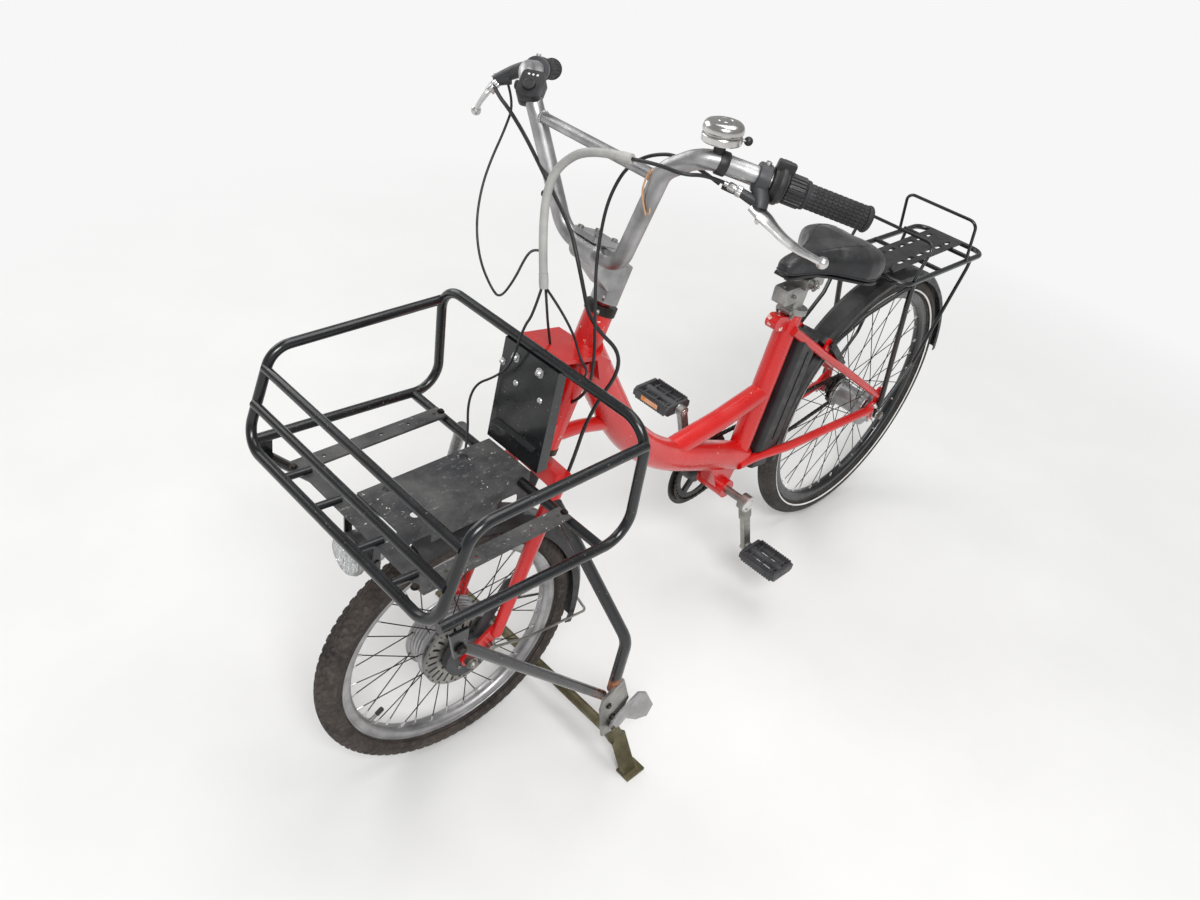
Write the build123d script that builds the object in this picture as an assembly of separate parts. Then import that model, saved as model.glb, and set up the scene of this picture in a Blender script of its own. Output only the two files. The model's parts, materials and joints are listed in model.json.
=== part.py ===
from build123d import *
import math
import os

# Electric bicycle with a front load carrier, in millimetres.
# x runs forward from the rear axle, y to the rider's left, z up from the floor.

# Wheels: 26 inch behind, 20 inch in front
WHEELBASE = 1190.0
REAR_R = 326.0
REAR_TYRE_W = 44.0
REAR_RIM_R = REAR_R - 40.0
REAR_RIM_DEPTH = 20.0
REAR_RIM_W = 27.0
FRONT_R = 250.0
FRONT_TYRE_W = 48.0
FRONT_RIM_R = FRONT_R - 40.0
FRONT_RIM_DEPTH = 19.0
FRONT_RIM_W = 29.0
SPOKE_COUNT = 36
SPOKE_D = 2.0
SPOKE_LEAN = 2.3
RUNNING_GAP = 0.3
FREE_GAP = 0.3
SEAT_GAP = 0.2

# Every finished piece is moved back by this, so that the origin is the middle of the footprint
ORIGIN_AHEAD = (WHEELBASE - 100.0) / 2

# Tops of the tyres: the frame's front and rear halves are placed from these two heights
FRONT_TOP = 2 * FRONT_R
REAR_TOP = 2 * REAR_R

# Steering axis: it leans back, and the fork rests a little to the rider's right
HEAD_TILT = 19.47
HEAD_REF_Z = FRONT_TOP + 200.0
HEAD_X_AT_REF = WHEELBASE - 192.2
STEER_REST = -5.41
HEAD_LOW_Z = FRONT_TOP + 108.0
HEAD_HIGH_Z = FRONT_TOP + 328.0
HEAD_TUBE_D = 46.0
HEAD_BORE_D = 33.0
STEERER_D = 25.4
COLLAR_H = 14.0
COLLAR_D = HEAD_TUBE_D + 4.0
CUP_H = 10.0
CUP_D = HEAD_TUBE_D + 2.0

# Frame tubes
MAIN_TUBE_D = 63.0
MAIN_TUBE_BEND = 540.0
BRACE_TUBE_D = 44.0
BRACE_BEND = 400.0
SEAT_TUBE_D = 45.0
STRUT_D = 25.0
BB_X = 497.0
BB_Z = REAR_R - 36.0
BB_SHELL_D = 42.0
BB_SHELL_W = 68.0
BB_WEB_T = 40.0
SEAT_TUBE_TOP = (386.0, REAR_TOP + 21.0)
SEAT_TUBE_FOOT = (BB_X - 54.0, BB_Z + 51.0)
SEAT_LUG_W = 30.0
SEAT_LUG_T = 26.0
CHAIN_STAY_D = 20.0
SEAT_STAY_D = 16.0
STAY_BRIDGE_D = 14.0
DROPOUT_Y = 70.0
DROPOUT_T = 6.0
AXLE_D = 10.0

# Cranks, chain and pedals
CRANK_LENGTH = 165.0
CRANK_ANGLE = 249.0
CRANK_Y = 84.0
CRANK_T = 14.0
CRANK_BOSS_D = 36.0
CRANK_EYE_D = 24.0
CRANK_WAIST_W = 19.0
SPINDLE_D = 17.0
CHAIN_Y = 46.0
CHAIN_PITCH = 12.7
RING_TEETH = 38
SPROCKET_TEETH = 19
ROLLER_D = 7.7
PLATE_T = 1.5
PLATE_H = 8.2
PLATE_WAIST = 5.4
CHAIN_INNER_W = 3.2
TOOTH_H = 3.2
RING_T = 2.4
GUARD_R = 90.0
GUARD_OFF = 4.0
GUARD_T = 3.0
PEDAL_L = 96.0
PEDAL_W = 74.0
PEDAL_T = 25.0
PEDAL_AXLE_D = 9.0
PEDAL_BARREL_D = 20.0
PEDAL_OFF = 4.0

# Fork
FORK_HALF_W = 58.0
FORK_LEG_D = 28.0
FORK_TIP_D = 20.0
CROWN_TOP_Z = FRONT_TOP + 90.0
CROWN_H = 26.0
CROWN_L = 34.0
FORK_TIP = (WHEELBASE - 52.0, FRONT_R + 38.0)
FORK_DROPOUT_Y = 50.0
FRONT_AXLE_D = 12.0

# Handlebar and stem; places on the bar are given from the middle of its clamp
BAR_D = 25.4
BAR_CLAMP = (WHEELBASE - 206.0, FRONT_TOP + 436.0)
BAR_BEND = 45.0
BRACE_BAR_D = 16.0
CLAMP_D = BAR_D + 20.0
CLAMP_W = 48.0
STEM_LOW_Z = FRONT_TOP + 346.0
STEM_BLOCK_D = 44.0
STEM_BLOCK_H = 62.0
STEM_W = 40.0
GRIP_D = 32.0
LEFT_GRIP_L = 92.0
RIGHT_GRIP_L = 118.0

# Front carrier, from the front axle and the top of the front tyre
CARRIER_D = 16.0
CARRIER_BEND = 45.0
CARRIER_HALF_W = 230.0
HOOP_X = WHEELBASE - 118.0
HOOP_TOP_Z = FRONT_TOP + 296.0
RAIL_Z = FRONT_TOP + 268.0
FLOOR_Z = FRONT_TOP + 103.0
NOSE_X = WHEELBASE + 228.0
NOSE_Z = FRONT_TOP + 122.0
RISER_TOP_X = NOSE_X - 49.0
FLOOR_TUBE_X = WHEELBASE - 68.0
FLOOR_TUBE_Z = FRONT_TOP + 104.0
TRAY_X = (WHEELBASE - 85.0, WHEELBASE + 156.0)
TRAY_TOP_Z = FRONT_TOP + 117.0
TRAY_HALF_W = 50.0
TRAY_DEPTH = 52.0
TRAY_SHEET = 2.0
TRAY_HOLE_D = 14.0
PANEL_HALF_W = 60.0
PANEL_SHEET = 3.0
STRIP_Y = 150.0
STRIP_W = 28.0
STRIP_T = 4.0
STRIP_HOLES = 5
STRIP_HOLE_X = WHEELBASE + 48.0
STRIP_HOLE_STEP = 50.0
STRIP_HOLE_D = 6.4
STRIP_Z = FRONT_TOP + 114.0

# Headlamp under the carrier's nose
LAMP_X = WHEELBASE + 143.0
LAMP_Z = FRONT_TOP + 60.0
LAMP_LENGTH = 62.0
LENS_R = 29.5

# Parking stand
LEG_D = 20.0
BRACE_LEG_D = 17.0
STAND_Y = 237.0
PIVOT_X = WHEELBASE - 160.0
PIVOT_Z = 150.0
PIVOT_PIN_D = 8.0
PLATE_Y = STAND_Y + 11.0
STAND_PLATE_T = 5.0
CROSSBAR_X = PIVOT_X - 51.0
CROSSBAR_Z = 56.0
CROSSBAR_D = 20.0
FOOT_TIP_X = PIVOT_X - 57.0
FOOT_TIP_Y = 285.0
TAB_T = 4.0
TAB_Y = PLATE_Y + STAND_PLATE_T / 2 + 5.0

# Rear load rack
RACK_HALF_W = 86.0
RACK_D = 12.0
RACK_Z = REAR_TOP + 48.0
RACK_FALL = 6.0
RACK_FRONT_X = 120.0
RACK_REAR_X = -236.0
RACK_BAR_D = 10.0
BAIL_D = 7.0
DECK_T = 4.0

# Battery behind the seat tube
BATTERY_LOW_Z = BB_Z + 70.0
BATTERY_LENGTH = 262.0
BATTERY_DEPTH = 72.0
BATTERY_HALF_W = 36.0
BATTERY_CORNER = 12.0

# Mudguards
GUARD_SHEET = 1.6
REAR_GUARD_R = REAR_R + 16.0
FRONT_GUARD_R = FRONT_R + 18.0

# Ring lock, on a line from the rear axle past the seat stays
LOCK_ANGLE = 43.8
LOCK_LOW_R = REAR_R - 64.0
LOCK_HIGH_R = REAR_R + 52.0
LOCK_T = 15.0

# Cables
SLEEVE_D = 12.0
BRAKE_CABLE_D = 6.0
WIRE_D = 4.0
CABLE_BEND = 90.0

HEAD_UP = Vector(-math.sin(math.radians(HEAD_TILT)), 0, math.cos(math.radians(HEAD_TILT)))
HEAD_FORWARD = Vector(math.cos(math.radians(HEAD_TILT)), 0, math.sin(math.radians(HEAD_TILT)))


def front(back, over):
    """(x, z) of a place behind the front axle and over the top of the front tyre."""
    return (WHEELBASE - back, FRONT_TOP + over)


def front_at(back, y, over):
    """The same place as a point, y to the left."""
    return (WHEELBASE - back, y, FRONT_TOP + over)


def on_bar(ahead, y, over):
    """Point given from the middle of the handlebar clamp."""
    return (BAR_CLAMP[0] + ahead, y, BAR_CLAMP[1] + over)


def head_point(z):
    """Point of the steering axis at height z."""
    return Vector(HEAD_X_AT_REF + (HEAD_REF_Z - z) * math.tan(math.radians(HEAD_TILT)), 0, z)


def head_plane(z):
    """Plane square to the steering axis at height z, its x pointing forward."""
    return Plane(origin=head_point(z), x_dir=HEAD_FORWARD, z_dir=HEAD_UP)


STEERING_AXIS = Axis(head_point(HEAD_REF_Z), HEAD_UP)


def steered(shape):
    """Turn a piece of the steered front end from straight ahead to its rest angle."""
    return shape.rotate(STEERING_AXIS, STEER_REST)


def steered_point(x, y, z):
    """Where a point of the steered front end stands at its rest angle."""
    turned_vertex = Vertex(x, y, z).rotate(STEERING_AXIS, STEER_REST)
    return (turned_vertex.X, turned_vertex.Y, turned_vertex.Z)


def bend_radii(points, largest):
    """Bend radius at each corner: the largest asked for, or what the shorter run beside it allows."""
    radii = []
    for number in range(1, len(points) - 1):
        arriving = Vector(*points[number]) - Vector(*points[number - 1])
        leaving = Vector(*points[number + 1]) - Vector(*points[number])
        half_turn = math.radians(arriving.get_angle(leaving) / 2)
        room = 0.46 * min(arriving.length, leaving.length) / math.tan(half_turn)
        radii.append(min(largest, room))
    return radii


def bar(points, diameter, bend=0.0):
    """Round bar along straight runs, its corners bent to at most the given radius."""
    if len(points) == 2:
        path = Line(points[0], points[1])
    else:
        path = FilletPolyline(*points, radius=bend_radii(points, bend))
    start = Plane(origin=points[0], z_dir=Vector(*points[1]) - Vector(*points[0]))
    return sweep(start * Circle(diameter / 2), path=path)


def cone_bar(start, end, start_d, end_d):
    """Round bar that tapers from one end to the other."""
    along = Vector(*end) - Vector(*start)
    first = Plane(origin=start, z_dir=along) * Circle(start_d / 2)
    last = Plane(origin=end, z_dir=along) * Circle(end_d / 2)
    return loft([first, last])


def mirrored(shape):
    """The same piece on the other side of the bicycle."""
    return mirror(shape, about=Plane.XZ)


def both_sides(shape):
    """A piece and its twin on the other side."""
    return shape + mirrored(shape)


def cross_bar(x, z, half_length, diameter):
    """Round bar across the bicycle."""
    return Pos(x, 0, z) * Rot(90, 0, 0) * Cylinder(diameter / 2, 2 * half_length)


def disc(x, z, y_from, y_to, radius, bore=0.0):
    """Disc or ring on an axis across the bicycle, between two side distances."""
    low = min(y_from, y_to)
    thick = abs(y_to - y_from)
    body = Pos(x, low + thick / 2, z) * Rot(90, 0, 0) * Cylinder(radius, thick)
    if bore:
        body -= Pos(x, low + thick / 2, z) * Rot(90, 0, 0) * Cylinder(bore, thick * 2)
    return body


def side_plane(y):
    """Plane along the bicycle at side distance y, its own x forward and y up."""
    return Plane(origin=(0, y, 0), x_dir=(1, 0, 0), z_dir=(0, -1, 0))


def side_plate(outline, y_middle, thickness):
    """Flat plate cut to an (x, z) outline, standing along the bicycle."""
    face = side_plane(y_middle + thickness / 2) * Polygon(*outline, align=None)
    return extrude(face, thickness, dir=(0, -1, 0))


def side_link(start, end, y_middle, thickness, width):
    """Flat link with round ends between two (x, z) points, standing along the bicycle."""
    run = Vector(end[0] - start[0], 0, end[1] - start[1])
    middle = ((start[0] + end[0]) / 2, y_middle + thickness / 2, (start[1] + end[1]) / 2)
    plane = Plane(origin=middle, x_dir=run, z_dir=(0, -1, 0))
    return extrude(plane * SlotCenterToCenter(run.length, width), thickness)


def turned(outline, x, z):
    """Body of revolution on a wheel axis, from an outline of (radius, side distance) points."""
    return Pos(x, 0, z) * revolve(Polygon(*outline, align=None), axis=Axis.Y)


def toothed_outline(teeth, tip_r, root_r):
    """Gear-like outline: each tooth rises from the root circle over a third of its pitch."""
    points = []
    for tooth in range(teeth):
        for share, radius in ((-0.34, root_r), (-0.13, tip_r), (0.13, tip_r), (0.34, root_r)):
            turn = 2 * math.pi * (tooth + share) / teeth
            points.append((radius * math.cos(turn), radius * math.sin(turn)))
    return Polygon(*points, align=None)


def pitch_radius(teeth):
    """Radius on which a chain's pins lie round that many teeth."""
    return CHAIN_PITCH / (2 * math.sin(math.pi / teeth))


RING_PITCH_R = pitch_radius(RING_TEETH)
SPROCKET_PITCH_R = pitch_radius(SPROCKET_TEETH)


# Wheels

def tyre(radius, width, rim_r, x, z):
    """Tyre with a round section that sits in the rim's mouth."""
    centre_r = radius - width / 2
    section = Pos(centre_r, 0) * Circle(width / 2)
    section -= Pos(rim_r - width / 2, 0) * Rectangle(width, width * 2)
    return Pos(x, 0, z) * revolve(section, axis=Axis.Y)


def rim(rim_r, depth, width, x, z):
    """Rim with rolled edges beside the tyre and an inner side that narrows to the spoke holes."""
    half = width / 2
    outline = [
        (rim_r, half),
        (rim_r, -half),
        (rim_r - depth * 0.2, -half),
        (rim_r - depth * 0.26, -half + 1.2),
        (rim_r - depth * 0.65, -half + 1.2),
        (rim_r - depth, -half * 0.45),
        (rim_r - depth, half * 0.45),
        (rim_r - depth * 0.65, half - 1.2),
        (rim_r - depth * 0.26, half - 1.2),
        (rim_r - depth * 0.2, half),
    ]
    return turned(outline, x, z)


def spokes(flange_r, flange_y, rim_inner_r, crossing, x, z):
    """Crossed spokes from two hub flanges to the rim, every second one on each side."""
    step = 360.0 / SPOKE_COUNT
    hub_r = flange_r + SPOKE_D / 2 + SEAT_GAP
    rim_r = rim_inner_r - SEAT_GAP
    rim_y = 2.0
    set_of_spokes = []
    for number in range(SPOKE_COUNT):
        side = 1 if number % 2 == 0 else -1
        lead = 1 if (number // 2) % 2 == 0 else -1
        rim_angle = math.radians(step * number)
        hub_angle = math.radians(step * number + lead * crossing)
        start = (
            hub_r * math.cos(hub_angle),
            side * flange_y + lead * SPOKE_LEAN,
            hub_r * math.sin(hub_angle),
        )
        end = (rim_r * math.cos(rim_angle), side * rim_y, rim_r * math.sin(rim_angle))
        along = Vector(*end) - Vector(*start)
        spoke = extrude(Plane(origin=start, z_dir=along) * RegularPolygon(SPOKE_D / 2, 6), along.length)
        set_of_spokes.append(Pos(x, 0, z) * spoke)
    return Compound(children=set_of_spokes)


def mudguard(radius, half_w, drop, start_angle, end_angle, x, z):
    """Sheet arch over a tyre, from one angle to another, counted from straight ahead upwards."""
    thick = GUARD_SHEET
    crown_half = half_w * 0.6
    outline = [
        (radius, crown_half),
        (radius, -crown_half),
        (radius - drop * 0.45, -half_w),
        (radius - drop, -half_w),
        (radius - drop, -half_w + thick),
        (radius - drop * 0.45 - thick * 0.4, -half_w + thick),
        (radius - thick, -crown_half + thick * 0.3),
        (radius - thick, crown_half - thick * 0.3),
        (radius - drop * 0.45 - thick * 0.4, half_w - thick),
        (radius - drop, half_w - thick),
        (radius - drop, half_w),
        (radius - drop * 0.45, half_w),
    ]
    up_from_front = Axis((0, 0, 0), (0, -1, 0))
    arch = revolve(Polygon(*outline, align=None), axis=up_from_front, revolution_arc=end_angle - start_angle)
    return Pos(x, 0, z) * Rot(0, -start_angle, 0) * arch


# Frame

def seat_tube_point(z, behind=0.0):
    """Point of the seat tube's centreline at height z, or that far square behind it."""
    share = (z - SEAT_TUBE_FOOT[1]) / (SEAT_TUBE_TOP[1] - SEAT_TUBE_FOOT[1])
    x = SEAT_TUBE_FOOT[0] + share * (SEAT_TUBE_TOP[0] - SEAT_TUBE_FOOT[0])
    return (x - behind * SEAT_UP.Z, 0, z + behind * SEAT_UP.X)


SEAT_UP = Vector(SEAT_TUBE_TOP[0] - SEAT_TUBE_FOOT[0], 0, SEAT_TUBE_TOP[1] - SEAT_TUBE_FOOT[1]).normalized()
SEAT_TOP_PLANE = Plane(
    origin=(SEAT_TUBE_TOP[0], 0, SEAT_TUBE_TOP[1]), x_dir=(SEAT_UP.Z, 0, -SEAT_UP.X), z_dir=SEAT_UP
)


def solid_head_tube(margin=0.0):
    """Space that the head tube fills, its bore included, and a margin past both ends."""
    length = (HEAD_HIGH_Z - HEAD_LOW_Z + 2 * margin) / HEAD_UP.Z
    return extrude(head_plane(HEAD_LOW_Z - margin) * Circle(HEAD_TUBE_D / 2), length)


def make_main_frame():
    """Welded front half: head tube, bent main tube, brace tube, seat tube, strut and bottom bracket."""
    main_foot = (BB_X - 59, 0, BB_Z + 45)
    frame = solid_head_tube()
    frame += bar([front_at(216, 0, 268), front_at(396, 0, -16), main_foot], MAIN_TUBE_D, MAIN_TUBE_BEND)
    frame += Pos(*main_foot) * Sphere(MAIN_TUBE_D / 2)
    brace_low = (BB_X + 193, 0, BB_Z + 162)
    brace_mid = (BB_X + 43, 0, BB_Z + 179)
    frame += bar([brace_low, brace_mid, (BB_X - 77, 0, BB_Z + 202)], BRACE_TUBE_D, BRACE_BEND)
    frame += bar([seat_tube_point(SEAT_TUBE_FOOT[1]), seat_tube_point(SEAT_TUBE_TOP[1])], SEAT_TUBE_D)
    frame += bar([front_at(164, 0, 119), front_at(235, 0, 113), front_at(318, 0, 90)], STRUT_D, 200)
    frame += cross_bar(BB_X, BB_Z, BB_SHELL_W / 2, BB_SHELL_D)
    web = [(BB_X - 45, BB_Z + 62), (BB_X + 63, BB_Z + 86), (BB_X + 23, BB_Z + 6), (BB_X - 17, BB_Z - 6)]
    frame += side_plate(web, 0, BB_WEB_T)
    lug_root = (SEAT_TUBE_TOP[0], SEAT_TUBE_TOP[1] - 23)
    lug_nose = (SEAT_TUBE_TOP[0] + 54, SEAT_TUBE_TOP[1] - 9)
    frame += side_link(lug_root, lug_nose, 0, SEAT_LUG_T, SEAT_LUG_W)
    frame -= extrude(head_plane(HEAD_LOW_Z - 20) * Circle(HEAD_BORE_D / 2), HEAD_HIGH_Z - HEAD_LOW_Z + 80)
    frame -= cross_bar(BB_X, BB_Z, BB_SHELL_W, SPINDLE_D + 2 * RUNNING_GAP)
    return frame


def make_head_bracket(main_frame):
    """Folded red plate over the head tube and plain foot below it, which carry the front carrier."""
    shelf = [front(230, 268), front(205, 286), front(128, 299), front(128, 293), front(198, 279), front(210, 240)]
    fold = [front(128, 299), front(122, 297), front(122, 262), front(128, 262)]
    arm = [front(180, 152), front(124, 164), front(124, 132), front(172, 134)]
    foot = [front(124, 176), front(118, 176), front(118, 122), front(124, 122)]
    top = side_plate(shelf, 0, 96) + side_plate(fold, 0, 96)
    low = side_plate(arm, 0, 40) + side_plate(foot, 0, 90)
    return top + low - solid_head_tube(10) - main_frame


def make_chain_stays(main_frame):
    """Left and right chain stays with their bridge and the rear dropouts."""
    level = REAR_R + 12
    stay = bar(
        [(BB_X - 29, 27, level), (BB_X - 93, 30, level), (BB_X - 179, 47, level + 1), (22, DROPOUT_Y, level + 4)],
        CHAIN_STAY_D,
        300,
    )
    stay += side_link((0, REAR_R), (26, REAR_R + 18), DROPOUT_Y, DROPOUT_T, 40)
    stay += side_link((0, REAR_R), (12, REAR_R + 62), DROPOUT_Y, DROPOUT_T, 26)
    stay -= disc(0, REAR_R, 0, 100, AXLE_D / 2)
    stays = both_sides(stay)
    stays += cross_bar(REAR_R + 38, level + 1, 38, STAY_BRIDGE_D)
    return stays - main_frame


SEAT_STAY_TOP = Vector(SEAT_TUBE_TOP[0] + 14, 22, SEAT_TUBE_TOP[1] - 30)
SEAT_STAY_LOW = Vector(16, DROPOUT_Y, REAR_R + 55)
STAY_TAB_SHARE = 0.33


def seat_stay_point(share):
    """Point on the left seat stay's centreline, 0 at its top and 1 at the dropout."""
    return SEAT_STAY_TOP + (SEAT_STAY_LOW - SEAT_STAY_TOP) * share


def make_seat_stays(main_frame, chain_stays):
    """Left and right tapered seat stays with their bridge and the rack tabs."""
    stay = cone_bar(tuple(seat_stay_point(0)), tuple(seat_stay_point(1)), SEAT_STAY_D + 4, SEAT_STAY_D)
    tab = seat_stay_point(STAY_TAB_SHARE)
    stay += side_link((tab.X, tab.Z), (tab.X - 4, tab.Z + 26), tab.Y, 5, 20)
    bridge_at = seat_stay_point(STAY_TAB_SHARE + 0.025)
    stays = both_sides(stay)
    stays += cross_bar(bridge_at.X, bridge_at.Z, bridge_at.Y, STAY_BRIDGE_D)
    return stays - main_frame - chain_stays


def make_headset():
    """Collar on top of the head tube and bearing cup below it."""
    upper = head_plane(HEAD_HIGH_Z) * Pos(0, 0, COLLAR_H / 2) * Cylinder(COLLAR_D / 2, COLLAR_H)
    lower = head_plane(HEAD_LOW_Z) * Pos(0, 0, -CUP_H / 2) * Cylinder(CUP_D / 2, CUP_H)
    hole = extrude(head_plane(HEAD_LOW_Z - 60) * Circle(STEERER_D / 2 + RUNNING_GAP), 400)
    return upper + lower - hole


def make_seat_post():
    """Seat tube collar with its bolt ears, short post and the two castings of the saddle clamp."""
    post = SEAT_TOP_PLANE * Pos(0, 0, 6) * Cylinder(27, 12)
    post += SEAT_TOP_PLANE * Pos(0, 0, 32) * Cylinder(14, 64)
    post += SEAT_TOP_PLANE * Pos(27, 0, 6) * Box(18, 22, 12)
    post += SEAT_TOP_PLANE * Pos(34, 0, 6) * Rot(90, 0, 0) * Cylinder(5, 34)
    rear_x, rear_z = SEAT_TUBE_TOP[0] - 8, SEAT_TUBE_TOP[1] + 72
    nose_x, nose_z = SEAT_TUBE_TOP[0] + 39, SEAT_TUBE_TOP[1] + 49
    rear = fillet((Pos(rear_x, 0, rear_z) * Box(60, 52, 24)).edges().filter_by(Axis.Y), 5)
    nose = fillet((Pos(nose_x, 0, nose_z) * Box(52, 30, 34)).edges().filter_by(Axis.Y), 6)
    barrel = cross_bar(rear_x + 8, rear_z - 2, 32, 18)
    return post + rear + nose + barrel


def make_saddle(seat_post):
    """Padded saddle: two rear lobes that run forward into a narrow nose."""
    base = SEAT_TUBE_TOP[1]
    sections = [
        (214, 62, 85, 117),
        (236, 90, 55, 133),
        (292, 94, 65, 143),
        (360, 52, 83, 135),
        (420, 30, 90, 130),
        (470, 20, 93, 127),
    ]
    faces = []
    for x, half_w, low, high in sections:
        plane = Plane(origin=(x, 0, base + (low + high) / 2), x_dir=(0, 1, 0), z_dir=(1, 0, 0))
        faces.append(plane * RectangleRounded(2 * half_w, high - low, (high - low) * 0.42))
    return loft(faces) - seat_post


def battery_plane():
    """Plane across the battery's lower end, its x pointing forward."""
    low = seat_tube_point(BATTERY_LOW_Z, SEAT_TUBE_D / 2 + FREE_GAP + BATTERY_DEPTH / 2)
    return Plane(origin=low, x_dir=(SEAT_UP.Z, 0, -SEAT_UP.X), z_dir=SEAT_UP)


def make_battery():
    """Slab battery behind the seat tube, with a shallow groove down each side."""
    slab = extrude(battery_plane() * RectangleRounded(BATTERY_DEPTH, 2 * BATTERY_HALF_W, BATTERY_CORNER), BATTERY_LENGTH)
    for side in (1, -1):
        groove = Pos(0, side * BATTERY_HALF_W, BATTERY_LENGTH / 2) * Box(8, 3, BATTERY_LENGTH - 50)
        slab -= battery_plane() * groove
    return slab


def make_battery_dock(main_frame, chain_stays, battery):
    """Foot that holds the battery on the chain stays, with its lock barrel on the left."""
    outline = RectangleRounded(BATTERY_DEPTH - 8, 2 * BATTERY_HALF_W - 10, BATTERY_CORNER - 2)
    dock = extrude(battery_plane() * outline, -46)
    dock += battery_plane() * Pos(8, BATTERY_HALF_W - 6, -14) * Rot(90, 0, 0) * Cylinder(8, 10)
    return dock - main_frame - chain_stays - battery


def make_rear_mudguard():
    """Rear mudguard, from the battery's foot over the tyre to the rear."""
    return mudguard(REAR_GUARD_R, 28, 20, -6, 171, 0, REAR_R)


def make_rear_rack(seat_stays):
    """Rack rails, their rear loop, the cross bars and the stays down to the dropouts."""
    y = RACK_HALF_W
    foot_y = 80
    half_loop = [
        (RACK_FRONT_X, 0, RACK_Z),
        (RACK_FRONT_X, y, RACK_Z),
        (RACK_REAR_X, y, RACK_Z - RACK_FALL),
        (RACK_REAR_X, 0, RACK_Z - RACK_FALL),
    ]
    rack = both_sides(bar(half_loop, RACK_D, 30))
    front_leg = bar(
        [(80, y, RACK_Z), (72, y, RACK_Z - 60), (8, foot_y, REAR_R + 58), (4, foot_y, REAR_R + 20)], RACK_D, 60
    )
    rear_leg = bar(
        [(-172, y, RACK_Z - 4), (-172, y, RACK_Z - 24), (-92, foot_y, REAR_R + 114), (-4, foot_y, REAR_R + 18)], 8, 40
    )
    foot = side_link((0, REAR_R), (3, REAR_R + 24), foot_y - 3.5, 7, 22)
    rack += both_sides(front_leg + rear_leg + foot)
    rack -= both_sides(disc(0, REAR_R, 60, 100, AXLE_D / 2))
    tab = seat_stay_point(STAY_TAB_SHARE)
    link = bar([(tab.X - 4, tab.Y + 7, tab.Z + 22), (180, 56, RACK_Z - 66), (94, y, RACK_Z - 8)], 9, 60)
    rack += both_sides(link)
    for x in (-160, -30):
        rack += cross_bar(x, RACK_Z + RACK_D / 2 - RACK_BAR_D / 2, y, RACK_BAR_D)
    return rack - seat_stays


def make_rack_deck():
    """Pierced deck plate on the rack's cross bars, with a rim below and the latch box at its front."""
    low = RACK_Z + RACK_D / 2
    deck = Pos(-52, 0, low + DECK_T / 2) * Box(300, 84, DECK_T)
    for x in (-160, -120, -80, -40, 0, 40):
        for y in (-24, 24):
            deck -= Pos(x, y, low) * extrude(SlotOverall(26, 9), 10, both=True)
    box = Pos(112, 0, low + 14) * Box(46, 70, 28)
    box = fillet(box.edges().filter_by(Axis.Z), 8)
    return deck + box


def make_rack_bails(rack):
    """Wire bails that stand up at the rear and the front of the rack."""
    y = RACK_HALF_W + 2
    rear = bar([(-143, -y, RACK_Z - 1), (-123, -y, RACK_Z + 94), (-123, y, RACK_Z + 94), (-143, y, RACK_Z - 1)], BAIL_D, 18)
    nose = bar([(87, -y, RACK_Z + 6), (50, -y, RACK_Z + 80), (50, y, RACK_Z + 80), (87, y, RACK_Z + 6)], BAIL_D, 18)
    return rear + nose - rack


def make_ring_lock(seat_stays, chain_stays):
    """Horseshoe lock around the rear tyre and rim, behind the seat stays."""
    lean = math.radians(LOCK_ANGLE)
    plane = Plane(origin=(0, 0, REAR_R), x_dir=(0, 1, 0), z_dir=(math.sin(lean), 0, -math.cos(lean)))
    height = LOCK_HIGH_R - LOCK_LOW_R
    outline = Pos(0, LOCK_LOW_R + height / 2) * RectangleRounded(100, height, 32)
    outline -= Pos(0, LOCK_LOW_R + height / 2 - 32) * RectangleRounded(64, height, 28)
    outline += Pos(40, LOCK_LOW_R + 30) * Rectangle(16, 60)
    outline += Pos(-40, LOCK_LOW_R + 30) * Rectangle(16, 60)
    return extrude(plane * outline, LOCK_T / 2, both=True) - seat_stays - chain_stays


def make_rear_axle():
    """Rear axle with its nuts outside the dropouts."""
    axle = cross_bar(0, REAR_R, 92, AXLE_D)
    nut = Pos(0, 88, REAR_R) * Rot(90, 0, 0) * extrude(RegularPolygon(9, 6), 4, both=True)
    return axle + both_sides(nut)


# Chain drive

def chain_line():
    """Closed line through the chain's pins, in an (x, z) plane."""
    run = Vector(-BB_X, REAR_R - BB_Z)
    heading = math.atan2(run.Y, run.X)
    lean = math.asin((RING_PITCH_R - SPROCKET_PITCH_R) / run.length)
    over = heading - math.pi / 2 + lean
    under = heading + math.pi / 2 - lean

    def on_ring(turn):
        return (BB_X + RING_PITCH_R * math.cos(turn), BB_Z + RING_PITCH_R * math.sin(turn))

    def on_sprocket(turn):
        return (SPROCKET_PITCH_R * math.cos(turn), REAR_R + SPROCKET_PITCH_R * math.sin(turn))

    round_ring = ThreePointArc(on_ring(over), on_ring(heading + math.pi), on_ring(under))
    round_sprocket = ThreePointArc(on_sprocket(under), on_sprocket(heading), on_sprocket(over))
    lower = Line(on_ring(under), on_sprocket(under))
    upper = Line(on_sprocket(over), on_ring(over))
    return Wire([round_ring.edge(), lower.edge(), round_sprocket.edge(), upper.edge()])


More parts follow.
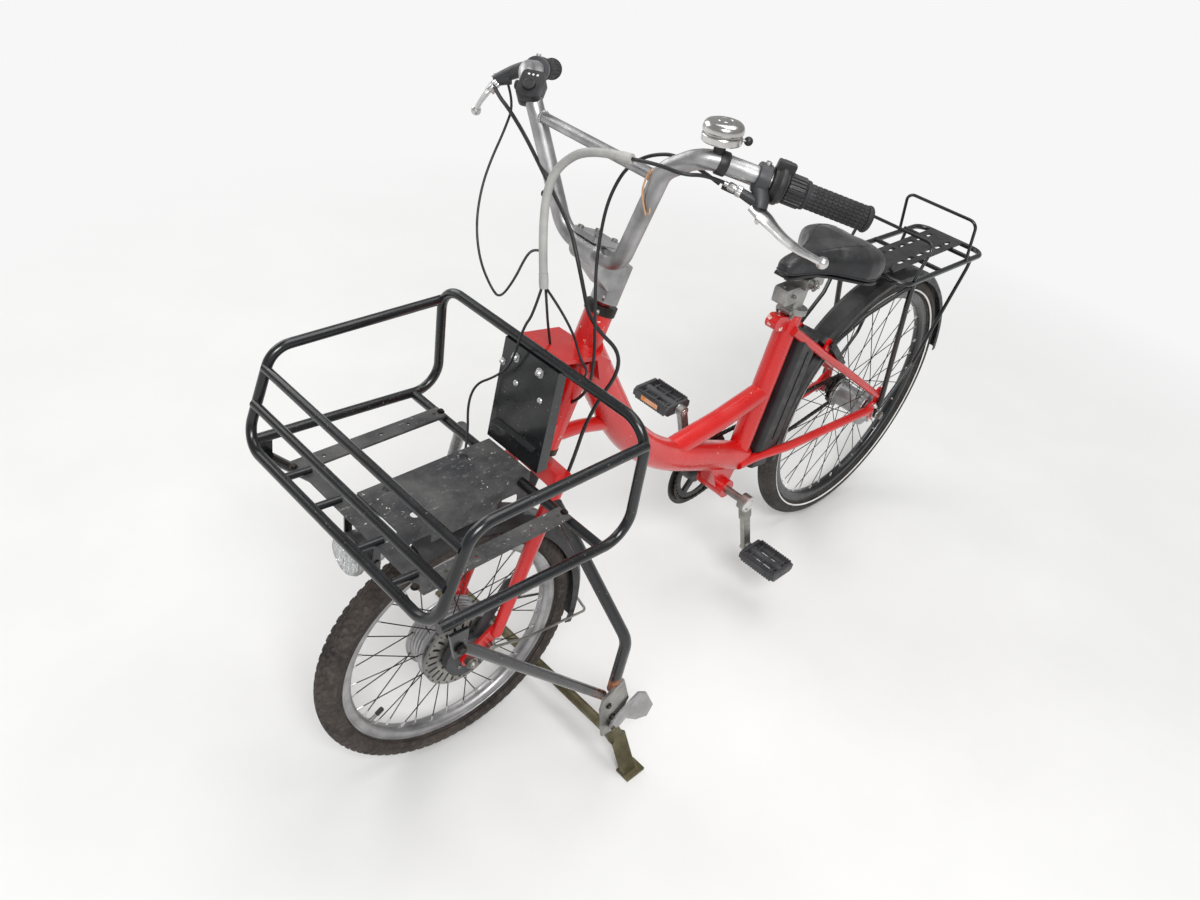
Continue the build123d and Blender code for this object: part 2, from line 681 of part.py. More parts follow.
def make_chain():
    """Roller chain: two rows of waisted plates with a roller at every pin between them."""
    line = chain_line()
    links = round(line.length / CHAIN_PITCH)
    outer, inner, pins = [], [], []
    for step in range(2 * links):
        share = step / (2 * links)
        place = line.position_at(share)
        along = line.tangent_at(share)
        half = PLATE_H / 2 if step % 2 == 0 else PLATE_WAIST / 2
        outer.append((place.X - along.Y * half, place.Y + along.X * half))
        inner.append((place.X + along.Y * half, place.Y - along.X * half))
        if step % 2 == 0:
            pins.append(place)
    band = Polygon(*outer, align=None)
    other = Polygon(*inner, align=None)
    plates = band - other if band.area > other.area else other - band
    half_gap = CHAIN_INNER_W / 2
    right_row = extrude(side_plane(-CHAIN_Y - half_gap) * plates, PLATE_T, dir=(0, -1, 0))
    left_row = extrude(side_plane(-CHAIN_Y + half_gap) * plates, PLATE_T, dir=(0, 1, 0))
    roller_w = CHAIN_INNER_W - 2 * SEAT_GAP
    rollers = []
    for pin in pins:
        hexagon = side_plane(-CHAIN_Y + roller_w / 2) * Pos(pin.X, pin.Y) * RegularPolygon(ROLLER_D / 2, 6)
        rollers.append(extrude(hexagon, roller_w, dir=(0, -1, 0)))
    return Compound(children=[right_row, left_row, *rollers])


def tooth_tip_r(pitch_r):
    """Highest a tooth may stand under the rollers of the chain that stays where it is."""
    return pitch_r - PLATE_H / 2 - FREE_GAP


def make_sprocket():
    """Rear sprocket with its teeth and carrier."""
    bore = AXLE_D / 2 + RUNNING_GAP
    tip_r = tooth_tip_r(SPROCKET_PITCH_R)
    teeth = toothed_outline(SPROCKET_TEETH, tip_r, tip_r - TOOTH_H)
    blank = Pos(0, 0, REAR_R) * extrude(side_plane(-CHAIN_Y + RING_T / 2) * teeth, RING_T, dir=(0, -1, 0))
    blank -= disc(0, REAR_R, -CHAIN_Y - 9, -CHAIN_Y + 9, bore)
    carrier = disc(0, REAR_R, -CHAIN_Y + RING_T / 2, -36, 26, bore)
    carrier += disc(0, REAR_R, -58, -CHAIN_Y - RING_T / 2, 20, bore)
    return blank + carrier


def make_chainring(crank):
    """Toothed chainring on five arms, with its guard ring outside it."""
    tip_r = tooth_tip_r(RING_PITCH_R)
    ring_face = toothed_outline(RING_TEETH, tip_r, tip_r - TOOTH_H) - Circle(tip_r - 14)
    for arm in range(5):
        ring_face += Rot(0, 0, 72 * arm + 18) * Pos(tip_r / 2, 0) * Rectangle(tip_r - 12, 15)
    ring_face += Circle(31)
    ring = extrude(side_plane(-CHAIN_Y + RING_T / 2) * ring_face, RING_T, dir=(0, -1, 0))
    guard_face = Circle(GUARD_R) - Circle(GUARD_R - 24)
    for arm in range(5):
        guard_face += Rot(0, 0, 72 * arm + 18) * Pos(GUARD_R / 2, 0) * Rectangle(GUARD_R - 20, 13)
    guard_face += Circle(31)
    guard = extrude(side_plane(-CHAIN_Y - GUARD_OFF) * guard_face, GUARD_T, dir=(0, -1, 0))
    spider = disc(BB_X, BB_Z, -CRANK_Y + CRANK_T / 2, -CHAIN_Y + RING_T / 2, 31)
    return Pos(BB_X, 0, BB_Z) * (ring + guard) + spider - crank


def pedal_place(side):
    """Crank end of one side, 1 for left and -1 for right."""
    turn = math.radians(CRANK_ANGLE)
    return (
        BB_X + side * CRANK_LENGTH * math.cos(turn),
        BB_Z + side * CRANK_LENGTH * math.sin(turn),
    )


def make_crank_set():
    """Spindle through the bottom bracket with both waisted crank arms, bored for the pedals."""
    crank = cross_bar(BB_X, BB_Z, CRANK_Y - 4, SPINDLE_D)
    for side in (1, -1):
        tip = pedal_place(side)
        y = side * CRANK_Y
        neck = (BB_X + (tip[0] - BB_X) * 0.3, BB_Z + (tip[1] - BB_Z) * 0.3)
        crank += side_link((BB_X, BB_Z), neck, y, CRANK_T, CRANK_WAIST_W + 6)
        crank += side_link(neck, tip, y, CRANK_T - 2, CRANK_WAIST_W)
        crank += disc(BB_X, BB_Z, y - CRANK_T / 2 - 1, y + CRANK_T / 2 + 2, CRANK_BOSS_D / 2)
        crank += disc(tip[0], tip[1], y - CRANK_T / 2, y + CRANK_T / 2, CRANK_EYE_D / 2)
        crank -= disc(tip[0], tip[1], y - 40, y + 40, PEDAL_AXLE_D / 2 + RUNNING_GAP)
    return crank


def make_pedal(side):
    """Pedal: rounded cage with four windows, its spindle barrel and the axle through the crank's eye."""
    x, z = pedal_place(side)
    inner = CRANK_Y + CRANK_T / 2 + PEDAL_OFF
    middle = side * (inner + PEDAL_L / 2)
    cage = Pos(x, middle, z) * Box(PEDAL_W, PEDAL_L, PEDAL_T)
    cage = fillet(cage.edges().filter_by(Axis.Z), 9)
    for along in (-21, 21):
        for across in (-20, 20):
            cage -= Pos(x + along, middle + across, z) * Box(22, 30, 2 * PEDAL_T)
    cage -= both_faces_dish(x, middle, z)
    cage += disc(x, z, middle - PEDAL_L / 2 + 3, middle + PEDAL_L / 2 - 3, PEDAL_BARREL_D / 2)
    return cage + disc(x, z, side * (CRANK_Y - CRANK_T / 2), side * (inner + 5), PEDAL_AXLE_D / 2)


def both_faces_dish(x, y, z):
    """Shallow hollows across the middle of a pedal's upper and lower tread."""
    dish = Box(PEDAL_W - 34, PEDAL_L - 20, 5)
    return Pos(x, y, z + PEDAL_T / 2) * dish + Pos(x, y, z - PEDAL_T / 2) * dish


# Front carrier, carried by the head bracket

def make_carrier_rear_hoop():
    """Upright rear hoop that bends forward into the lower side rails."""
    y = CARRIER_HALF_W
    half = [(HOOP_X, 0, HOOP_TOP_Z), (HOOP_X, y, HOOP_TOP_Z), (HOOP_X, y, FLOOR_Z), (NOSE_X - 8, y, NOSE_Z)]
    return both_sides(bar(half, CARRIER_D, CARRIER_BEND))


def make_carrier_front_loop(rear_hoop):
    """Nose tube along the lower front edge, its corner risers and the upper side rails."""
    y = CARRIER_HALF_W + 1
    half = [(NOSE_X, 0, NOSE_Z), (NOSE_X, y, NOSE_Z), (RISER_TOP_X, y, RAIL_Z), (HOOP_X, y, RAIL_Z)]
    return both_sides(bar(half, CARRIER_D, CARRIER_BEND - 5)) - rear_hoop


def make_carrier_cross_tubes(front_loop, rear_hoop):
    """Two tubes across the sloping front, the floor tube at the rear and four stubs behind the nose."""
    tubes = cross_bar(NOSE_X - 16, NOSE_Z + 64, CARRIER_HALF_W, CARRIER_D - 2)
    tubes += cross_bar(NOSE_X - 36, NOSE_Z + 118, CARRIER_HALF_W, CARRIER_D - 2)
    tubes += cross_bar(FLOOR_TUBE_X, FLOOR_TUBE_Z, CARRIER_HALF_W, CARRIER_D)
    for y in (51.5, 131.0):
        stub = bar([(NOSE_X, y, NOSE_Z - 2), (NOSE_X - 46, y, NOSE_Z - 6)], 12)
        tubes += both_sides(stub)
    return tubes - front_loop - rear_hoop


def make_carrier_strips(front_loop, cross_tubes, rear_hoop):
    """Flat floor strips: one across the front and one along each side, with their holes."""
    across = Pos(NOSE_X - 48, 0, STRIP_Z - 1) * Box(30, 2 * STRIP_Y + 30, 4)
    side = Pos(STRIP_HOLE_X, STRIP_Y, STRIP_Z) * Box(232, STRIP_W, STRIP_T)
    for number in range(STRIP_HOLES):
        x = STRIP_HOLE_X + (number - (STRIP_HOLES - 1) / 2) * STRIP_HOLE_STEP
        side -= Pos(x, STRIP_Y, STRIP_Z) * Cylinder(STRIP_HOLE_D / 2, 20)
    return across + both_sides(side) - front_loop - cross_tubes - rear_hoop


def make_carrier_tray(cross_tubes, strips):
    """Folded sheet tray between panel and nose, its sides turned down, with three cable holes."""
    length = TRAY_X[1] - TRAY_X[0]
    middle = (TRAY_X[0] + TRAY_X[1]) / 2
    tray = Pos(middle, 0, TRAY_TOP_Z - TRAY_DEPTH / 2) * Box(length, 2 * TRAY_HALF_W, TRAY_DEPTH)
    hollow = Box(length + 10, 2 * (TRAY_HALF_W - TRAY_SHEET), TRAY_DEPTH)
    tray -= Pos(middle, 0, TRAY_TOP_Z - TRAY_SHEET - TRAY_DEPTH / 2) * hollow
    for x, y in ((TRAY_X[0] + 62, -34), (TRAY_X[1] - 40, -34), (TRAY_X[1] - 40, 34)):
        tray -= Pos(x, y, TRAY_TOP_Z) * Cylinder(TRAY_HOLE_D / 2, 20)
    for x in (TRAY_X[0] + 40, TRAY_X[1] - 40):
        notch = Pos(x, 0, TRAY_TOP_Z - TRAY_DEPTH) * Box(40, 4 * TRAY_HALF_W, 36)
        tray -= fillet(notch.edges().filter_by(Axis.Y), 8)
    return tray - cross_tubes - strips


def make_back_panel(rear_hoop, bracket, tray, cross_tubes):
    """Back panel with folded sides and a ridge near its foot, which stands in the hoop."""
    half = PANEL_HALF_W
    face = [front(92, 117), front(89, 117), front(107, 292), front(110, 292)]
    wing = [front(92, 117), front(110, 117), front(124, 292), front(110, 292)]
    lid = [front(124, 288), front(108, 288), front(108, 291), front(124, 291)]
    ridge = [front(93, 146), front(84, 150), front(84, 153), front(95, 157)]
    panel = side_plate(face, 0, 2 * half) + side_plate(lid, 0, 2 * half)
    panel += side_plate(ridge, 0, 2 * half - 24)
    folds = side_plate(wing, half - PANEL_SHEET / 2, PANEL_SHEET)
    post = bar([front_at(114, half - 12, 122), front_at(120, half - 12, 292)], 14)
    return panel + both_sides(folds) + both_sides(post) - rear_hoop - bracket - tray - cross_tubes


def make_headlamp():
    """Headlamp shell, a round body that swells to its rim."""
    profile = [(0, 0), (14, 0), (22, 5), (27, 16), (29, 30), (30, 52), (33, 54), (33, LAMP_LENGTH), (0, LAMP_LENGTH)]
    shell = revolve(Plane.XZ * Polygon(*profile, align=None), axis=Axis.Z)
    return Pos(LAMP_X, 0, LAMP_Z) * Rot(0, 90, 0) * shell


def make_headlamp_lens():
    """Clear front of the headlamp."""
    return Pos(LAMP_X + LAMP_LENGTH + 3, 0, LAMP_Z) * Rot(0, 90, 0) * Cylinder(LENS_R, 6)


def make_headlamp_bracket(headlamp, strips):
    """Two strips that hang the headlamp from the front floor strip."""
    x = NOSE_X - 48
    outline = [(x + 6, STRIP_Z - 3), (x - 6, STRIP_Z - 3), (x - 6, LAMP_Z - 15), (x + 6, LAMP_Z - 15)]
    strip = side_plate(outline, 36, 3)
    bolt = disc(x, LAMP_Z, 26, 40, 5)
    return both_sides(strip + bolt) - headlamp - strips


def make_stand_rear_legs(cross_tubes, rear_hoop):
    """Rear stand legs from the floor tube out to the sides and down."""
    leg = bar([front_at(82, 115, 100), (PIVOT_X, 245, PIVOT_Z + 212), (PIVOT_X, 239, PIVOT_Z + 86)], LEG_D, 60)
    return both_sides(leg) - cross_tubes - rear_hoop


def make_stand_front_legs(rear_hoop, front_loop, rear_legs):
    """Straight braces from brackets below the nose corners back to the stand plates."""
    top = (NOSE_X - 34, NOSE_Z - 42)
    brace = bar([(top[0], 231, top[1]), (PIVOT_X + 22, STAND_Y, PIVOT_Z + 84)], BRACE_LEG_D)
    outline = [
        (top[0] - 12, top[1] + 32),
        (top[0] + 18, top[1] + 34),
        (top[0] + 8, top[1] - 14),
        (top[0] - 10, top[1] - 14),
    ]
    bracket = side_plate(outline, 231 + 11, 5)
    bolt = disc(top[0], top[1], 231, 250, 6)
    return both_sides(brace + bracket + bolt) - rear_hoop - front_loop - rear_legs


def make_stand_plates(rear_legs, front_legs):
    """Grey plates that join the legs on each side, bored for the feet's pins."""
    corners = [(-12, 112), (32, 90), (34, 62), (14, -22), (-14, -24), (-38, 46)]
    outline = [(PIVOT_X + dx, PIVOT_Z + dz) for dx, dz in corners]
    plate = side_plate(outline, PLATE_Y, STAND_PLATE_T)
    plate -= disc(PIVOT_X, PIVOT_Z, 0, 400, PIVOT_PIN_D / 2 + RUNNING_GAP)
    return both_sides(plate) - rear_legs - front_legs


def make_stand_feet():
    """Folding feet with their pins, joined across behind the wheel; each ends in a bent channel."""
    arm = side_link((PIVOT_X, PIVOT_Z), (CROSSBAR_X, CROSSBAR_Z), STAND_Y, 10, 30)
    plane = Plane(origin=(CROSSBAR_X, STAND_Y, CROSSBAR_Z + 12), x_dir=(1, 0, 0), z_dir=(0, 0.55, -0.83))
    shin = extrude(plane * Rectangle(30, 10), 105)
    shin = split(shin, Plane.XY, keep=Keep.TOP)
    pad = Pos(FOOT_TIP_X, FOOT_TIP_Y - 5, 3) * Box(44, 30, 6)
    pin = disc(PIVOT_X, PIVOT_Z, STAND_Y - 6, TAB_Y + TAB_T + 3, PIVOT_PIN_D / 2)
    head = disc(PIVOT_X, PIVOT_Z, STAND_Y - 10, STAND_Y - 5, 8)
    return both_sides(arm + shin + pad + pin + head) + cross_bar(CROSSBAR_X, CROSSBAR_Z, STAND_Y, CROSSBAR_D)


def make_stand_tab(feet):
    """Bare aluminium tab on the left pin, by which a foot swings the stand."""
    corners = [(-28, 44), (-53, 56), (-76, 39), (-107, -17), (-96, -41), (-63, -26), (-31, 3), (-17, -8), (10, -2), (5, 19)]
    outline = [(PIVOT_X + dx, PIVOT_Z + dz) for dx, dz in corners]
    return side_plate(outline, TAB_Y + TAB_T / 2, TAB_T) - feet


# Steered front end, drawn straight ahead

def make_fork():
    """Box-crown fork with tapered legs, dropouts and steerer."""
    crown_shape = SlotCenterToCenter(2 * FORK_HALF_W, CROWN_L)
    crown = extrude(head_plane(CROWN_TOP_Z) * Rot(0, 0, 90) * crown_shape, -CROWN_H)
    leg_top = head_point(CROWN_TOP_Z - CROWN_H / 2)
    leg = cone_bar(
        (leg_top.X, FORK_HALF_W, leg_top.Z), (FORK_TIP[0], FORK_HALF_W, FORK_TIP[1]), FORK_LEG_D, FORK_TIP_D
    )
    leg += Pos(FORK_TIP[0], FORK_HALF_W, FORK_TIP[1]) * Sphere(FORK_TIP_D / 2)
    leg += side_link(FORK_TIP, (WHEELBASE, FRONT_R), FORK_DROPOUT_Y + 3, DROPOUT_T, 28)
    fork = crown + both_sides(leg)
    steerer_length = (HEAD_HIGH_Z + 20 - CROWN_TOP_Z) / HEAD_UP.Z
    fork += extrude(head_plane(CROWN_TOP_Z) * Circle(STEERER_D / 2), steerer_length)
    return fork - disc(WHEELBASE, FRONT_R, -80, 80, FRONT_AXLE_D / 2)


def make_front_axle():
    """Front axle with its nuts outside the fork ends."""
    axle = cross_bar(WHEELBASE, FRONT_R, 70, FRONT_AXLE_D)
    nut = Pos(WHEELBASE, 61, FRONT_R) * Rot(90, 0, 0) * extrude(RegularPolygon(11, 6), 5, both=True)
    return axle + both_sides(nut)


def make_stem(handlebar, fork, headset):
    """Stem: block on the steerer, wedge-shaped arm and bar clamp under its flat four-bolt cap."""
    block = extrude(head_plane(STEM_LOW_Z) * Circle(STEM_BLOCK_D / 2), STEM_BLOCK_H)
    corners = [(-52, -68), (-24, -64), (20, -10), (14, 14), (-18, 16), (-58, -30)]
    arm = side_plate([(BAR_CLAMP[0] + dx, BAR_CLAMP[1] + dz) for dx, dz in corners], 0, STEM_W)
    clamp = cross_bar(BAR_CLAMP[0], BAR_CLAMP[1], CLAMP_W / 2, CLAMP_D)
    cap_plane = Plane(origin=(BAR_CLAMP[0], 0, BAR_CLAMP[1]), x_dir=HEAD_FORWARD, z_dir=HEAD_UP).offset(15)
    cap = extrude(cap_plane * RectangleRounded(CLAMP_D + 6, CLAMP_W + 8, 8), 8)
    return block + arm + clamp + cap - handlebar - fork - headset


BAR_HALF = [
    on_bar(0, 0, 0),
    on_bar(1, 62, 0),
    on_bar(20, 138, 168),
    on_bar(5, 186, 201),
    on_bar(-34, 217, 189),
    on_bar(-156, 330, 151),
]


def make_handlebar():
    """High swept-back handlebar with its cross brace."""
    half = both_sides(bar(BAR_HALF, BAR_D, BAR_BEND))
    return half + cross_bar(BAR_CLAMP[0] + 17, BAR_CLAMP[1] + 154, 133, BRACE_BAR_D)


def bar_end_plane(distance):
    """Plane square to the left bar end, a distance in from its tip."""
    tip = Vector(*BAR_HALF[-1])
    inward = (Vector(*BAR_HALF[-2]) - tip).normalized()
    return Plane(origin=tip + inward * distance, z_dir=inward)


def bar_end_turned(outline):
    """Body of revolution on the left bar end, from (distance in from the tip, radius) points."""
    flat = [(radius, distance) for distance, radius in outline]
    return bar_end_plane(0) * revolve(Plane.XZ * Polygon(*flat, align=None), axis=Axis.Z)


def make_grips(handlebar):
    """Rubber grips over both bar ends, with a rim at each end."""
    r = GRIP_D / 2
    grips = []
    for length in (LEFT_GRIP_L, RIGHT_GRIP_L):
        end = length - 3
        outline = [
            (-3, 0), (-3, r - 1), (0, r + 1), (4, r + 1), (6, r - 1), (end / 2, r), (end - 6, r - 1),
            (end - 5, r + 2), (end, r + 2), (end, 0),
        ]
        grips.append(bar_end_turned(outline))
    return grips[0] + mirrored(grips[1]) - handlebar


def make_twist_shifter(handlebar, grips):
    """Twist shifter inboard of the left grip: fluted barrel, stepped housing and cable outlet."""
    start = LEFT_GRIP_L - 3 + FREE_GAP
    r = GRIP_D / 2
    flutes = 18
    barrel = extrude(bar_end_plane(start) * toothed_outline(flutes, r + 3.5, r + 2), 24)
    housing = bar_end_turned(
        [(start + 24, 0), (start + 24, r + 5), (start + 27, r + 9), (start + 36, r + 9), (start + 44, r + 4), (start + 44, 0)]
    )
    return barrel + housing - handlebar - grips


def make_brake_perches(handlebar, shifter):
    """Brake lever clamps, pivot housings and cable adjusters on both sides."""
    clamp = extrude(bar_end_plane(136) * Circle(BAR_D / 2 + 6), 16)
    arm = cone_bar(on_bar(-50, 234, 180), on_bar(-40, 252, 154), 24, 19)
    adjuster = cone_bar(on_bar(-38, 246, 156), on_bar(-16, 208, 173), 13, 9)
    return both_sides(clamp + arm + adjuster) - handlebar - shifter


def make_brake_levers(perches, handlebar, shifter):
    """Curved lever blades that narrow to a neck and end in a ball."""
    places = [on_bar(-38, 250, 150), on_bar(-48, 268, 138), on_bar(-64, 290, 120), on_bar(-102, 316, 98)]
    widths = [13.0, 14.0, 11.0, 8.0]
    blade = Pos(*places[-1]) * Sphere(8)
    for number in range(3):
        blade += cone_bar(places[number], places[number + 1], widths[number], widths[number + 1])
        blade += Pos(*places[number]) * Sphere(widths[number] / 2)
    return both_sides(blade) - perches - handlebar - shifter


def make_bell(handlebar):
    """Two-part bell on its clamp on the left bar, with the thumb lever's ball behind it."""
    x, y, z = on_bar(-9, 197, 198)
    post = bar([(x, y, z), (x, y, z + 24)], 16)
    profile = [
        (0, 0), (24, 0), (25, 2), (25, 9), (23, 11), (23, 12), (25.5, 14), (25.5, 18), (23, 24), (19, 26),
        (18, 25), (0, 25),
    ]
    dome = Pos(x, y, z + 22) * revolve(Plane.XZ * Polygon(*profile, align=None), axis=Axis.Z)
    thumb = bar([(x - 14, y + 8, z + 26), (x - 28, y + 18, z + 26)], 4)
    thumb += Pos(x - 28, y + 18, z + 26) * Sphere(5.5)
    return post + dome + thumb - handlebar


def make_switch_box(handlebar):
    """Display switch box with its button pad and clamp ring on the right riser."""
    x, y, z = on_bar(16, -150, 186)
    body = Box(44, 34, 26)
    body = fillet(body.edges().filter_by(Axis.Z), 7)
    body += Pos(4, 0, 15) * Cylinder(9, 6)
    return Pos(x, y, z) * Rot(0, 0, 20) * body - handlebar


def make_front_mudguard(fork):
    """Front mudguard with its fixing tab below the crown."""
    guard = mudguard(FRONT_GUARD_R, 30, 26, 72, 195, WHEELBASE, FRONT_R)
    under = head_point(CROWN_TOP_Z - CROWN_H)
    foot = front(122, -18)
    tab = [(under.X - 13, under.Z + 20), (under.X - 17, under.Z + 20), foot, (foot[0] + 4, foot[1])]
    return guard + side_plate(tab, 0, 20) - fork


def make_front_stay(guard, fork, axle):
    """Wire stay from the fork ends to the front mudguard's tail."""
    eye_at = (WHEELBASE - 40, FRONT_R + 12)
    wire = bar(
        [
            (eye_at[0], 64, eye_at[1]),
            (WHEELBASE - 128, 52, FRONT_R - 22),
            (WHEELBASE - 279, 33, FRONT_R - 50),
            (WHEELBASE - 285, 0, FRONT_R - 50),
        ],
        5,
        12,
    )
    eye = disc(eye_at[0], eye_at[1], 55.8, 66, 7)
    return both_sides(wire + eye) - guard - fork - axle


def make_front_brake(fork, axle):
    """Roller brake unit on the left of the front hub, with its torque arm along the fork leg."""
    unit = disc(WHEELBASE, FRONT_R, 36, FORK_DROPOUT_Y, 40)
    arm = side_link((WHEELBASE - 10, FRONT_R + 10), (WHEELBASE - 80, FRONT_R + 122), 41, 5, 20)
    stop = disc(WHEELBASE - 46, FRONT_R + 30, 38.5, 48, 12)
    return unit + arm + stop - fork - axle


# Turning parts

def make_front_hub():
    """Hub motor: drum with cooling grooves, spoke flanges and stepped side covers."""
    bore = FRONT_AXLE_D / 2 + RUNNING_GAP
    outline = [(bore, -47), (22, -47), (26, -40), (44, -37), (62, -34), (73, -28), (73, -23), (68, -21)]
    for y in (-15, -7, 1):
        outline += [(68, y), (65, y + 1), (65, y + 4), (68, y + 5)]
    outline += [(68, 11), (73, 13), (73, 18), (62, 23), (40, 25), (bore, 25)]
    return turned(outline, WHEELBASE, FRONT_R)


def make_brake_disc():
    """Cooling disc of the front roller brake, with a ring of radial slots."""
    bore = FRONT_AXLE_D / 2 + RUNNING_GAP
    slots = 24
    hub = disc(WHEELBASE, FRONT_R, 25, 34, 34, bore)
    face = Circle(72) - Circle(bore)
    for number in range(slots):
        face -= Rot(0, 0, 360 / slots * number) * Pos(57, 0) * SlotOverall(18, 5)
    plate = extrude(side_plane(33) * face, 5, dir=(0, -1, 0))
    return hub + Pos(WHEELBASE, 0, FRONT_R) * plate


def make_rear_hub():
    """Rear gear hub shell with flanges and the brake drum on its left."""
    bore = AXLE_D / 2 + RUNNING_GAP
    outline = [
        (bore, -36), (30, -36), (37, -33), (37, -29), (31, -27), (29, -15), (29, 15), (31, 27), (37, 29), (37, 33),
        (34, 36), (45, 38), (45, 54), (30, 58), (bore, 58),
    ]
    return turned(outline, 0, REAR_R)


# Cables, whole from end to end

def make_cable_sleeve():
    """Light grey sleeve that gathers the left side's cables and drops in front of the stem."""
    route = [
        on_bar(46, 104, 174),
        on_bar(56, 35, 167),
        on_bar(74, -6, 130),
        on_bar(88, -7, 91),
        on_bar(96, 7, 26),
        on_bar(96, 18, -25),
    ]
    return bar(route, SLEEVE_D, CABLE_BEND)


def make_bar_cables(sleeve, solids):
    """Brake and shifter cables and the thin wires between handlebar, sleeve, frame and carrier."""
    brake_end = steered_point(WHEELBASE - 82, 41, FRONT_R + 126)
    right_brake = [
        on_bar(-64, -259, 151),
        on_bar(-26, -267, 147),
        on_bar(-9, -220, 136),
        on_bar(12, -159, 112),
        on_bar(26, -90, 79),
        on_bar(41, -4, 39),
        on_bar(51, 28, 13),
        on_bar(46, 43, -27),
        on_bar(31, 52, -87),
        on_bar(11, 56, -169),
        (WHEELBASE - 192, 58, FRONT_TOP + 190),
        (WHEELBASE - 176, 52, FRONT_TOP + 90),
        (WHEELBASE - 130, 46, FRONT_TOP - 60),
        brake_end,
    ]
    shifter = [
        on_bar(-29, 190, 163),
        on_bar(-9, 137, 184),
        on_bar(-9, 81, 166),
        on_bar(1, 53, 142),
        on_bar(11, 44, 115),
        on_bar(16, 36, 78),
        on_bar(23, 40, 32),
        on_bar(29, 47, -4),
        on_bar(38, 66, -52),
        on_bar(28, 72, -155),
        front_at(182, 54, 220),
        front_at(187, 18, 188),
    ]
    left_brake = [on_bar(46, 104, 174), on_bar(46, 150, 184), on_bar(36, 188, 182), on_bar(7, 198, 182)]
    far_wire = [
        on_bar(-39, -265, 148),
        on_bar(-24, -234, 125),
        on_bar(1, -231, 99),
        on_bar(26, -228, 54),
        on_bar(46, -220, 14),
        on_bar(66, -199, -31),
        on_bar(74, -172, -78),
        on_bar(64, -150, -118),
        on_bar(62, -128, -126),
        on_bar(66, -90, -76),
        on_bar(81, -46, -14),
        on_bar(91, -16, 10),
        on_bar(95, 4, 16),
    ]
    lamp_wire = [
        on_bar(98.5, 20, -25),
        on_bar(111, 20, -72),
        on_bar(116, 8, -94),
        on_bar(116, -14, -171),
        on_bar(126, -40, -203),
        on_bar(141, -66, -224),
        on_bar(150, -72, -262),
        on_bar(152, -62, -318),
        on_bar(166, -TRAY_HALF_W, -342),
    ]
    bracket_wire = [on_bar(92, 16, -25), on_bar(82, 12, -64), on_bar(70, 5, -104), on_bar(60, 3, -140)]
    frame_wire = [
        on_bar(97, 14, -25),
        on_bar(74, 24, -58),
        on_bar(58, 52, -100),
        on_bar(46, 58, -140),
        on_bar(20, 54, -176),
        on_bar(6, 22, -206),
    ]
    thick = bar(right_brake, BRAKE_CABLE_D, CABLE_BEND) + bar(shifter, BRAKE_CABLE_D - 1, CABLE_BEND)
    thick += bar(left_brake, BRAKE_CABLE_D - 1, CABLE_BEND)
    cables = thick
    for route in (far_wire, lamp_wire, bracket_wire, frame_wire):
        cables += bar(route, WIRE_D, CABLE_BEND / 2)
    cables -= sleeve
    for solid in solids:
        cables -= solid
    return cables


